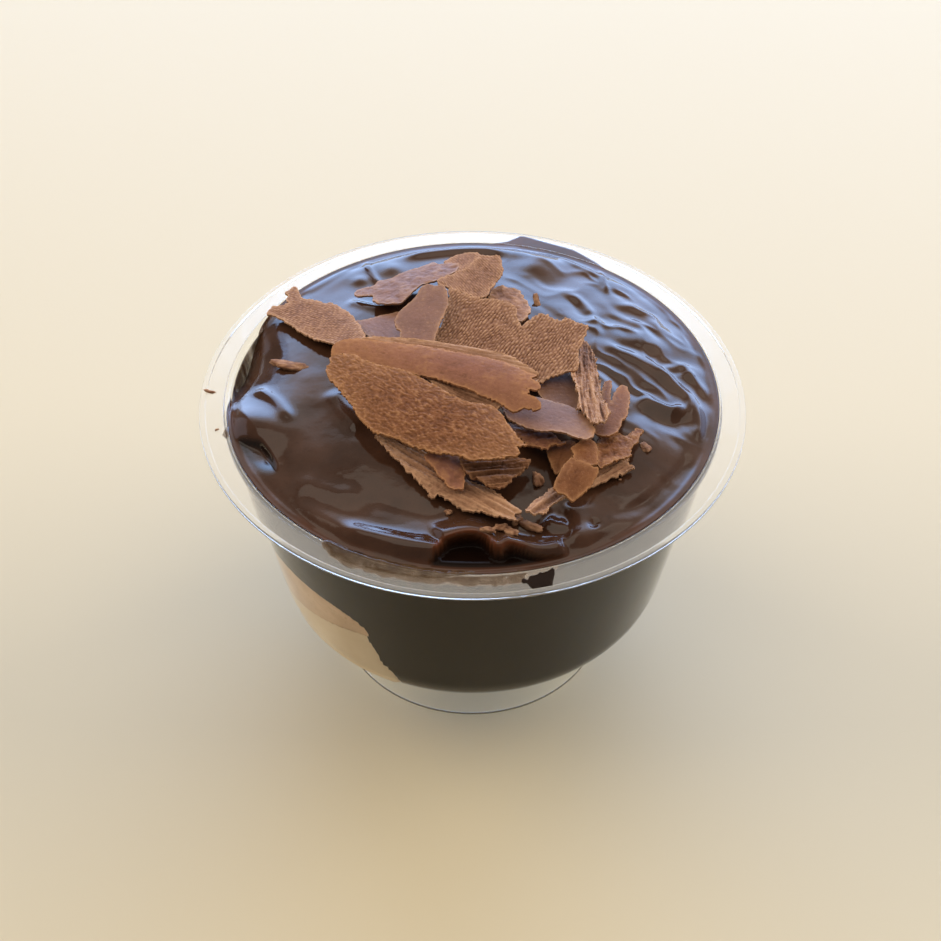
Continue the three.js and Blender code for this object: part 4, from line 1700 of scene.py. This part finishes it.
class Outline:
    """Traced outline of a shaving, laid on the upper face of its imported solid."""

    def __init__(self, mesh: Mesh, look: Look, stiffness: float = 0.03) -> None:
        """Fits a smooth face to the solid's upper side and lays the trace on it.

        Args:
            mesh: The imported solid.
            look: The shaving's look.
            stiffness: How strongly the fitted face is kept from bending.
        """
        top = self._upper(mesh)
        self.middle = top[:, :2].mean(0)
        self.reach = np.abs(top[:, :2] - self.middle).max()
        terms = self._terms(top[:, 0], top[:, 1])
        flat = np.diag([0.0, 0.0, 0.0, 1.0, 1.0, 1.0]) * stiffness * len(top)
        self.weights = np.linalg.solve(terms.T @ terms + flat, terms.T @ (top[:, 2] + look.lift))
        places = VIEW.onto(look.trace, self.height, top[:, 2].mean())
        self.centre = places.mean(0)
        along = np.linalg.svd(places - self.centre, full_matrices=False)[2][0]
        self.along = along * np.sign(along[0])
        self.aside = np.array([-self.along[1], self.along[0]])
        offset = places - self.centre
        self.border = Border(np.stack([offset @ self.along, offset @ self.aside], -1))

    @staticmethod
    def _upper(mesh: Mesh) -> Array:
        """Points of the solid's upper faces.

        Args:
            mesh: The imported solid.

        Returns:
            An array of points in millimetres.
        """
        least_upward = 0.3
        points = fetched(mesh.vertices, "co", 3).astype(float) / MM
        mesh.calc_loop_triangles()
        corners = fetched(mesh.loop_triangles, "vertices", 3, np.int32)
        a, b, c = (points[corner] for corner in corners.T)
        normal = np.cross(b - a, c - a)
        upward = normal[:, 2] > least_upward * np.linalg.norm(normal, axis=1)
        return np.unique(points[np.unique(corners[upward])].round(3), axis=0)

    def _terms(self, x: Array, y: Array) -> Array:
        """Terms of a smooth curved face."""
        u, v = (x - self.middle[0]) / self.reach, (y - self.middle[1]) / self.reach
        return np.stack([np.ones_like(u), u, v, u * u, u * v, v * v], -1)

    def height(self, x: Array, y: Array) -> Array:
        """Height of the smooth face at places in plan."""
        return self._terms(x, y) @ self.weights

    def plan(self, u: Array, v: Array) -> tuple[Array, Array]:
        """Plan coordinates of a place on the shaving, given along its length and width."""
        ways = zip(self.centre, self.along, self.aside)
        return tuple(middle + u * along + v * aside for middle, along, aside in ways)


@dataclass
class Shaving:
    """One thin, torn shaving of milk chocolate.

    Chips are a plain share and an uneven one, and the masks below are those of the lower side and the rim.
    """

    look: Look
    seed: int
    thick: float = 1.0
    thin: float = 0.4
    taper: float = 1.2
    tear_pitches: Pair = (1.6, 0.4)
    fine_tears: float = 1.2
    chip_pitch: float = 0.7
    chip_depth: float = 0.05
    pale_widths: Pair = (0.2, 1.3)
    pale_inside: float = 0.25
    gold_spreads: Pair = (0.35, 0.25)
    rim_chips: Pair = (0.8, 0.5)
    gold_chips: Pair = (0.8, 0.3)
    # Where on the grain the painted highlight and the painted shade begin, and how strong they get.
    highlight_start: float = 0.2
    highlight_most: float = 0.8
    shade_start: float = -0.1
    shade_gain: float = 1.1
    edge_below: Pair = (0.2, 0.75)
    pits_and_shade_below: Pair = (0.3, 0.0)
    split: float = 0.06

    def build(self, materials: dict[Tone, Material]) -> Piece:
        """Makes the shaving on a fine grid that is cut along its torn outline.

        Args:
            materials: The material of each tone.

        Returns:
            The dressed piece.
        """
        look, node = self.look, "shaving_" + (self.look.on or self.look.name)
        outline = Outline(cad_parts[node].data, look)
        noise = Noise(self.seed)

        def torn(u: Array, v: Array) -> Array:
            """Distance to the torn outline."""
            wide, fine = (noise.layered(u / pitch, v / pitch, 2) for pitch in self.tear_pitches)
            return outline.border.distance(u, v) + look.ragged * (wide + self.fine_tears * fine)

        sheet = Sheet(outline.border, look.pitch, torn)
        u, v, gap = sheet.u, sheet.v, sheet.gap
        relief = self.relief(u, v)
        chips = Noise(self.seed + Seed.SHAVING_CHIPS).layered(u / self.chip_pitch, v / self.chip_pitch, 2)
        x, y = outline.plan(u, v)
        dome = look.arch * (1.0 - (2.0 * (v - v.min()) / np.ptp(v) - 1.0) ** 2)
        top = outline.height(x, y) + dome + look.relief * relief
        low = top - lerp(self.thick, self.thin, np.exp(gap / self.taper)) - self.chip_depth * chips
        run = (u - u.min()) / np.ptp(u)
        start, end = self.gold_spreads
        gold = look.gold[0] * bell(run, start) + look.gold[1] * bell(1.0 - run, end)
        rim, inside = (np.exp(gap / width) for width in self.pale_widths)
        rim_pale, gold_pale = (base + part * chips for base, part in (self.rim_chips, self.gold_chips))
        edge = rim * rim_pale + self.pale_inside * inside + gold * gold_pale
        # Raised grain is painted lighter: a painted highlight, carried with the pale edges.
        light = look.contrast * np.clip(relief - self.highlight_start, 0.0, self.highlight_most)
        # Hollows of the grain are painted darker: painted shade, carried with the pits.
        pits_and_shade = look.contrast * np.clip(self.shade_start - self.shade_gain * relief, 0.0, 1.0)
        masks = {"edge": (np.clip(edge + light, 0.0, 1.0), *self.edge_below), "pits_and_shade": (pits_and_shade, *self.pits_and_shade_below)}
        piece = sheet.solid("flake_" + look.name, (x, y), (top, low), masks, self.split)
        return dress(piece, [materials[look.tone]], None if look.on else node)

    def relief(self, u: Array, v: Array) -> Array:
        """Height of the face's own texture.

        Places are divided by pitches in millimetres, and each noise is multiplied by its share of the height.

        Args:
            u, v: Places along the shaving and across it.

        Returns:
            Heights, mostly between -1 and 1.
        """
        look, noise = self.look, Noise(self.seed + Seed.SHAVING_FACE)
        along, across = turned(u, v, look.row_turn)
        pitch = look.row_pitch
        if look.face is Face.SATIN:
            holes = np.minimum(noise.value(u / 0.5 + 9.0, v / 0.5) + 0.65, 0.0)
            grain = 0.2 * noise.layered(along / 1.5, across / 0.3, 2)
            grain += 0.25 * noise.layered(u / 0.5, v / 0.5, 2)
            return 0.5 * noise.layered(u / 4.0, v / 2.5, 2) + grain + 2.0 * holes
        if look.face is Face.GRAIN:
            bend = 0.5 * noise.layered(along / 4.0, across / 4.0, 2)
            rows = noise.layered(along / (1.5 * pitch), (across + bend) / (0.7 * pitch), 2)
            return rows + 0.25 * noise.layered(u / 3.0, v / 3.0, 2)
        if look.face is Face.KNURL:
            row = (across + 0.3 * noise.layered(along / 4.0, across / 4.0, 2)) / pitch
            shift = 0.5 * np.round(row) + 0.5 * noise.layered(along / 2.0, across / 2.0, 2)
            wave = np.cos(2.0 * math.pi * row) * (0.8 + 0.4 * noise.value(along / 1.5, across / 1.5))
            bead = np.cos(2.0 * math.pi * (along / (2.1 * pitch) + shift))
            return 0.55 * wave + 0.3 * bead + 0.4 * noise.layered(u / 0.45, v / 0.45, 2)
        if look.face is Face.FIBRE:
            layers = noise.layered(along / 10.0, across / 0.65, 3)
            steps = np.round(layers * 2.5) / 2.5
            fibres = 0.5 * noise.layered(along / 4.0, across / 0.3, 2)
            return steps + fibres + 0.2 * noise.layered(u / 0.5, v / 0.4, 2)
        return noise.layered(u / 1.2, v / 1.0, 4)


@dataclass(frozen=True)
class Film:
    """Thin smear of sauce on the flange."""

    name: str
    trace: Trace
    thick: float
    clear: float
    soft: float = 0.5
    dense: bool = False
    seed: int = Seed.FILM
    pitch: float = 0.2
    ragged: float = 0.2
    ragged_pitch: float = 1.3
    uneven: float = 0.2
    uneven_pitch: float = 2.0
    mottle: float = 0.25
    mottle_pitch: float = 0.9
    sunk: float = 0.03
    split: float = 0.01

    def build(self, cup: Cup, material: Material) -> Piece:
        """Makes the smear on a fine grid that follows the flange.

        Args:
            cup: The cup that it lies on.
            material: A finish that reads a mask named thin.

        Returns:
            The dressed piece.
        """
        border = Border(VIEW.onto(self.trace, cup.rim_surface, cup.rim_top))
        noise = Noise(self.seed)
        limit = cup.rim_radius - cup.lip_width - cup.bead

        def ragged(x: Array, y: Array) -> Array:
            """Distance to the smear's uneven outline, inside the rim."""
            tears = noise.layered(x / self.ragged_pitch, y / self.ragged_pitch, 3)
            return np.maximum(border.distance(x, y) + self.ragged * tears, np.hypot(x, y) - limit)

        sheet = Sheet(border, self.pitch, ragged)
        x, y = sheet.u, sheet.v
        ground = cup.rim_surface(x, y)
        body = 1.0 - np.exp(sheet.gap / self.soft)
        uneven = self.uneven * noise.layered(x / self.uneven_pitch, y / self.uneven_pitch, 2)
        top = ground + self.thick * body * (1.0 + uneven)
        mottle = self.mottle * noise.layered(x / self.mottle_pitch, y / self.mottle_pitch, 3)
        masks = {"thin": (np.clip(lerp(1.0, self.clear, body) + mottle, 0.0, 1.0), 1.0, 1.0)}
        piece = sheet.solid(self.name, (x, y), (top, ground - self.sunk), masks, self.split)
        return dress(piece, [material])


FILMS = (
    Film("front_spill", thick=0.55, clear=0.15, soft=0.7, trace=(
        (318, 543), (330, 555), (350, 564), (375, 570), (400, 575), (425, 578), (450, 577), (480, 575),
        (510, 573), (540, 568), (560, 562), (574, 555), (560, 551), (540, 555), (500, 560), (450, 561),
        (400, 557), (360, 548), (332, 538))),
    Film("front_smear", thick=0.06, clear=0.6, soft=0.8, trace=(
        (326, 553), (350, 561), (400, 571), (450, 573), (500, 571), (545, 565), (562, 561), (556, 572),
        (530, 581), (500, 586), (460, 587), (420, 583), (380, 576), (345, 566))),
    Film("front_patch", thick=0.12, clear=-0.4, soft=0.3, dense=True, ragged=0.35, trace=(
        (521, 580), (532, 574), (543, 571), (555, 568), (554, 579), (550, 588), (541, 592), (531, 590))),
    Film("left_drip", thick=0.25, clear=0.5, soft=0.4, seed=Seed.DRIP, ragged=0.1, trace=(
        (229, 425), (233, 431), (231, 437), (226, 440), (221, 435), (224, 430))),
)


@dataclass
class WallFilm:
    """Streaky film that the sauce left on the inner wall where its level is low."""

    cup: Cup
    sauce: Sauce
    turns: Pair = (150.0, 197.0)
    top: float = 57.4
    gap: float = 0.05
    under: float = 0.4
    streak_width: float = 2.5
    streak_length: float = 12.0
    edge_scale: float = 60.0
    thin_base: float = 0.4
    thin_streak: float = 0.4
    thin_edge: float = 0.5
    thin_least: float = 0.05
    columns: int = 140
    rows: int = 24

    def build(self, material: Material) -> Piece:
        """Makes a thin closed strip along the wall.

        Args:
            material: A finish that reads a mask named thin.

        Returns:
            The dressed piece.
        """
        around, up = np.radians(np.linspace(*self.turns, self.columns)), np.linspace(0.0, 1.0, self.rows)
        turn, share = np.meshgrid(around, up, indexing="ij")
        x, y = np.cos(turn), np.sin(turn)
        height = lerp(self.sauce.level - self.sauce.dip(x, y) - self.under, self.top, share)
        across, down = np.degrees(turn) / self.streak_width, height / self.streak_length
        streak = Noise(Seed.FILM).layered(across, down, 3)
        edge = np.minimum(share, 1.0 - share) * np.minimum(turn - turn.min(), turn.max() - turn)
        thin = self.thin_base - self.thin_streak * streak + self.thin_edge * np.exp(-edge * self.edge_scale)
        sides = []
        for offset in (-self.gap, self.gap):
            radius = self.cup.inside_radius(height) + offset
            sides.append(np.stack([radius * x, radius * y, height], -1).reshape(-1, 3))
        count = turn.size
        number = np.arange(count).reshape(turn.shape)
        quads = grid_quads(number.T).reshape(-1, 4)
        border = np.concatenate([number[:, 0], number[-1, 1:], number[-2::-1, -1], number[0, -2:0:-1]])
        after = np.roll(border, -1)
        walls = np.stack([border, after, after + count, border + count], -1)
        faces = np.vstack([quads, quads[:, ::-1] + count, walls])
        masks = {"thin": np.tile(np.clip(thin, self.thin_least, 1.0).ravel(), 2)}
        return dress(new_piece("wall_film", np.vstack(sides), faces, None, masks), [material])


@dataclass(frozen=True)
class Crumb:
    """One chip of chocolate: where it shows in the picture, its size and how it lies."""

    place: Pair
    size: Triple
    turn: float = 0.0
    tilt: float = 0.0
    lift: float = 0.0


CRUMBS = (
    Crumb((449, 513), (1.3, 1.1, 0.7), 40.0),
    Crumb((487, 531), (2.6, 1.0, 0.8), -8.0),
    Crumb((500, 529), (2.2, 1.3, 0.9), 10.0),
    Crumb((510, 533), (2.6, 1.4, 0.9), -25.0),
    Crumb((518, 521), (2.0, 1.2, 1.0), 50.0),
    Crumb((531, 527), (3.6, 1.3, 0.9), -28.0),
    Crumb((290, 367), (6.0, 2.4, 1.0), -8.0),
    Crumb((537, 303), (1.1, 2.8, 0.8), 20.0, 35.0),
    Crumb((537, 481), (1.8, 2.6, 1.4), 5.0, 20.0),
    Crumb((210, 392), (2.0, 0.6, 0.4), -15.0),
    Crumb((217, 430), (0.7, 0.3, 0.3), 30.0),
    Crumb((620, 480), (0.6, 0.4, 0.3)),
    Crumb((645, 447), (2.2, 1.6, 0.5), -50.0, lift=-0.12),
    Crumb((432, 496), (1.2, 0.8, 0.5), 30.0),
)


@dataclass
class Crumbs:
    """All the loose chips, on the sauce and on the flange."""

    cup: Cup
    sauce: Sauce
    sectors: int = 26
    rings: int = 13
    sunk: float = 0.2
    squareness: float = 0.7
    uneven: float = 0.34
    uneven_scale: float = 1.6
    speck_scale: float = 2.0
    speck: float = 0.5
    pale: float = 0.2
    pitted: float = 0.1

    def ground(self, x: Array, y: Array) -> Array:
        """Height of the sauce, or of the flange outside it, at places in plan."""
        inside = np.hypot(x, y) < self.cup.inside_radius(self.sauce.level)
        return np.where(inside, self.sauce.top(x, y), self.cup.rim_surface(x, y))

    def chip(self, crumb: Crumb, seed: int) -> Array:
        """Points of one chip about its own middle, ring by ring and then the two poles.

        Args:
            crumb: The chip.
            seed: Starting number of its noise.

        Returns:
            An array of points.
        """
        rise = np.linspace(-0.5 * math.pi, 0.5 * math.pi, self.rings + 2)[1:-1]
        around, rise = np.meshgrid(full_turn(self.sectors), rise)
        ball = np.stack([np.cos(rise) * np.cos(around), np.cos(rise) * np.sin(around), np.sin(rise)], -1)
        ball = np.vstack([ball.reshape(-1, 3), [[0.0, 0.0, -1.0]], [[0.0, 0.0, 1.0]]])
        ball = np.sign(ball) * np.abs(ball) ** self.squareness
        x, y, z = ball.T
        scale = self.uneven_scale
        uneven = 1.0 + self.uneven * Noise(seed).layered(x * scale + z, y * scale - z, 4)
        turn = Matrix.Rotation(math.radians(crumb.turn), 3, "Z")
        tilt = Matrix.Rotation(math.radians(crumb.tilt), 3, "X")
        return (ball * uneven[:, None] * np.array(crumb.size) / 2.0) @ np.array(turn @ tilt).T

    def build(self, material: Material) -> Piece:
        """Makes one piece of all the chips.

        Args:
            material: A finish that reads masks named edge and pit.

        Returns:
            The dressed piece.
        """
        plan = VIEW.onto([crumb.place for crumb in CRUMBS], self.ground, self.sauce.level)
        rest = self.ground(plan[:, 0], plan[:, 1])
        points, faces = [], []
        for number, crumb in enumerate(CRUMBS):
            chip = self.chip(crumb, Seed.CRUMB + number)
            height = rest[number] + (0.5 - self.sunk) * crumb.size[2] + crumb.lift
            points.append(chip + np.array([*plan[number], height]))
            faces.append([kind + number * len(chip) for kind in closed_rings(self.rings, self.sectors)])
        points = np.vstack(points)
        quads, triangles = (np.vstack(kind) for kind in zip(*faces))
        scaled = points[:, :2] * self.speck_scale
        speck = self.speck * Noise(Seed.CRUMB_SPECKS).layered(scaled[:, 0], scaled[:, 1], 2)
        masks = {"edge": np.clip(self.pale + speck, 0.0, 1.0), "pits_and_shade": np.clip(self.pitted - speck, 0.0, 1.0)}
        return dress(new_piece("crumbs", points, quads, triangles, masks), [material])


def facing(place: Vector, aim: Vector) -> Matrix:
    """Pose of a camera or a light that looks from one place at another."""
    return Matrix.Translation(place) @ (aim - place).to_track_quat("-Z", "Y").to_matrix().to_4x4()


@dataclass(frozen=True)
class Panel:
    """Soft light panel that faces the cup, with its middle and its size in metres."""

    name: str
    place: Triple
    size: Pair
    radiance: float
    tint: Colour
    mirrored: bool = True
    aim_height: float = 0.05

    def hang(self) -> None:
        """Makes the light; one that isn't mirrored doesn't show in glossy surfaces."""
        data = bpy.data.lights.new(self.name, "AREA")
        data.shape = "RECTANGLE"
        data.size, data.size_y = self.size
        data.energy = self.radiance * math.pi * self.size[0] * self.size[1]
        data.color = self.tint
        light = placed(self.name, data)
        light.visible_glossy = self.mirrored
        light.visible_camera = False
        light.matrix_world = facing(Vector(self.place), Vector((0.0, 0.0, self.aim_height)))


SKY_TINT: Colour = (0.4, 0.6, 1.0)
ROOM_TINT: Colour = (1.0, 0.9, 0.76)
PANELS = (
    Panel("left window", (-1.15, 0.7, 0.5), (0.8, 0.8), 0.6, (0.8, 0.82, 1.0)),
    Panel("ceiling", (0.0, 0.0, 1.3), (1.4, 1.4), 0.9, ROOM_TINT),
    Panel("left panel", (-1.25, 0.3, 0.8), (1.2, 0.9), 4.0, ROOM_TINT, mirrored=False),
    Panel("right panel", (1.25, 0.3, 0.8), (1.2, 0.9), 4.3, ROOM_TINT, mirrored=False),
)


@dataclass(frozen=True)
class Window:
    """Cool, low window behind the cup: strips on an arch that grow dim and warm towards the top.

    Angles are in degrees above the cup's middle. Each strip is made of parts, given by their share of the
    light, their middle and their width.
    """

    strips: int = 10
    low: float = -2.0
    high: float = 62.0
    distance: float = 1.25
    middle_height: float = 0.05
    radiance: Pair = (5.6, 0.4)
    dimming: Pair = (24.0, 54.0)
    warming: Pair = (30.0, 56.0)
    parts: tuple[Triple, ...] = ((0.6, 0.1, 1.6), (0.4, 0.4, 2.4))

    def hang(self) -> None:
        """Hangs every strip."""
        rise = (self.high - self.low) / self.strips
        for step in range(self.strips):
            angle = self.low + (step + 0.5) * rise
            turn = math.radians(angle)
            back = self.distance * math.cos(turn)
            up = self.middle_height + self.distance * math.sin(turn)
            radiance = float(lerp(*self.radiance, smooth_step(np.array(angle), *self.dimming)))
            warm = smooth_step(np.array(angle), *self.warming)
            tint = tuple(lerp(np.array(SKY_TINT), np.array(ROOM_TINT), warm))
            for share, middle, width in self.parts:
                size = (width, self.distance * math.radians(rise))
                Panel(f"window strip {step}", (middle, back, up), size, share * radiance, tint).hang()


@dataclass
class Studio:
    """Camera, soft lights and a plain pale floor."""

    floor_half: float = 6000.0
    floor_tone: Colour = (0.68, 0.59, 0.41)
    floor_roughness: float = 0.55
    air_tint: Colour = (1.0, 0.94, 0.87)
    air_light: float = 0.16
    clip_start: float = 0.01

    def camera(self) -> None:
        """Places the camera at the viewer's eye."""
        data = bpy.data.cameras.new("camera")
        data.angle = 2.0 * math.atan(VIEW.half_frame / VIEW.focal)
        data.clip_start = self.clip_start
        camera = placed("camera", data)
        tilted = Matrix.Rotation(math.radians(VIEW.roll), 4, "Z")
        camera.matrix_world = facing(Vector(VIEW.eye) * MM, Vector(VIEW.aim) * MM) @ tilted
        bpy.context.scene.camera = camera

    def floor(self) -> None:
        """Lays the floor."""
        corners = np.array([[-1.0, -1.0, 0.0], [1.0, -1.0, 0.0], [1.0, 1.0, 0.0], [-1.0, 1.0, 0.0]])
        floor = new_piece("floor", corners * self.floor_half, np.array([[0, 1, 2, 3]]))
        material, graph, shader = new_material("pale floor")
        graph.set(shader, {"Base Color": opaque(self.floor_tone), "Roughness": self.floor_roughness})
        floor.data.materials.append(material)

    def lights(self) -> None:
        """A window behind, soft light from both sides, and a dim ceiling."""
        Window().hang()
        for panel in PANELS:
            panel.hang()
        world = bpy.data.worlds.new("room")
        world.use_nodes = True
        shade = world.node_tree.nodes["Background"]
        shade.inputs["Color"].default_value = opaque(self.air_tint)
        shade.inputs["Strength"].default_value = self.air_light
        bpy.context.scene.world = world

    def build(self) -> None:
        """Sets up the whole studio."""
        self.camera()
        self.floor()
        self.lights()
        bpy.context.scene.view_settings.view_transform = "Standard"


PLASTIC = ClearPlastic()
HAZY_PLASTIC = ClearPlastic(tint=(0.9, 0.88, 0.84), haze=0.24)
OPEN_SAUCE = WetChocolate()
# A much darker copy of the open sauce, for where it is seen through the wall: painted shade.
SHADED_SAUCE_BEHIND = WetChocolate(dark=(0.005, 0.002, 0.001), light=(0.011, 0.0045, 0.0025), specular=0.0, bump=0.0)
# The sauce with little reflection, for creases under painted shade.
SHADED_CREASE_SAUCE = WetChocolate(specular=0.08)
SMEAR = WetChocolate(dark=(0.02, 0.0085, 0.0045), light=(0.04, 0.0175, 0.01), thin=(0.2, 0.115, 0.05),
                     alpha=(1.0, 0.35))
PATCH = WetChocolate(dark=(0.012, 0.006, 0.004), light=(0.02, 0.011, 0.008), thin=(0.03, 0.02, 0.014),
                     specular=0.1)
CREAM = SoftFilling(dark=(0.72, 0.58, 0.4), light=(0.82, 0.7, 0.53), speckle=(0.6, 0.44, 0.28),
                    amount=0.1, blotch_scale=90.0, gloss=(0.4, 0.55), bump=0.1, grain_scale=360.0)
CHOUX = SoftFilling(dark=(0.54, 0.36, 0.22), light=(0.7, 0.51, 0.34), speckle=(0.38, 0.22, 0.12),
                    amount=0.3, blotch_scale=160.0, gloss=(0.6, 0.75), bump=0.3, grain_scale=640.0)
# Each finish's pit colour is also its painted shade, and its speckle colour also its painted highlight.
SHAVING_FINISHES = {
    Tone.TAN: ShavedChocolate(
        dark=(0.235, 0.112, 0.062), light=(0.33, 0.17, 0.1), speckle=(0.54, 0.31, 0.18),
        pits_and_shade=(0.1, 0.038, 0.018), gloss=(0.65, 0.77), specular=0.15, bump=0.35),
    Tone.ORANGE: ShavedChocolate(
        dark=(0.165, 0.06, 0.023), light=(0.23, 0.09, 0.037), speckle=(0.42, 0.205, 0.09),
        pits_and_shade=(0.085, 0.028, 0.01), gloss=(0.58, 0.7), specular=0.15, bump=0.3),
    Tone.ROSE: ShavedChocolate(
        dark=(0.22, 0.088, 0.054), light=(0.29, 0.122, 0.079), speckle=(0.46, 0.22, 0.1),
        pits_and_shade=(0.13, 0.05, 0.028), gloss=(0.5, 0.62), specular=0.2, bump=0.2),
    Tone.PINK: ShavedChocolate(
        dark=(0.2, 0.097, 0.063), light=(0.255, 0.128, 0.087), speckle=(0.44, 0.24, 0.13),
        pits_and_shade=(0.14, 0.058, 0.035), gloss=(0.45, 0.57), specular=0.22, bump=0.2),
    Tone.DARK: ShavedChocolate(
        dark=(0.13, 0.054, 0.026), light=(0.19, 0.085, 0.043), speckle=(0.34, 0.17, 0.085),
        pits_and_shade=(0.05, 0.02, 0.009), gloss=(0.6, 0.72), specular=0.15, bump=0.3),
}


def main() -> None:
    """Builds every piece in order."""
    logging.basicConfig(level=logging.INFO, format="%(message)s")
    Studio().build()
    effects = Effects()
    cup = Cup()
    cup.build(PLASTIC.build("clear plastic"), HAZY_PLASTIC.build("hazy plastic"))
    sauce = Sauce(cup)
    sauce.build(
        OPEN_SAUCE.build("dark sauce", effects),
        SHADED_SAUCE_BEHIND.build("shaded sauce behind plastic", effects),
        SHADED_CREASE_SAUCE.build("sauce in shaded creases", effects),
    )
    cream = Filling(cup, "vanilla_cream", "cream_pool", into_wall=0.14, roughness=0.15,
                    seed=Seed.CREAM, grow=0.9)
    cream.build(CREAM.build("vanilla cream", effects), Slot.CREAM)
    bun = Filling(cup, "choux_bun", "bun", into_wall=0.22, roughness=0.35, seed=Seed.BUN)
    bun.build(CHOUX.build("baked choux", effects), Slot.CHOUX)
    materials = {
        tone: finish.build("shaving " + tone.value, effects)
        for tone, finish in SHAVING_FINISHES.items()
    }
    for seed, look in enumerate(SHAVINGS + LAYERS, 1):
        Shaving(look, seed).build(materials)
    smear, patch = SMEAR.build("smeared sauce", effects), PATCH.build("patch of sauce", effects)
    for film in FILMS:
        film.build(cup, patch if film.dense else smear)
    WallFilm(cup, sauce).build(smear)
    Crumbs(cup, sauce).build(materials[Tone.TAN])


if __name__ == "__main__":
    main()
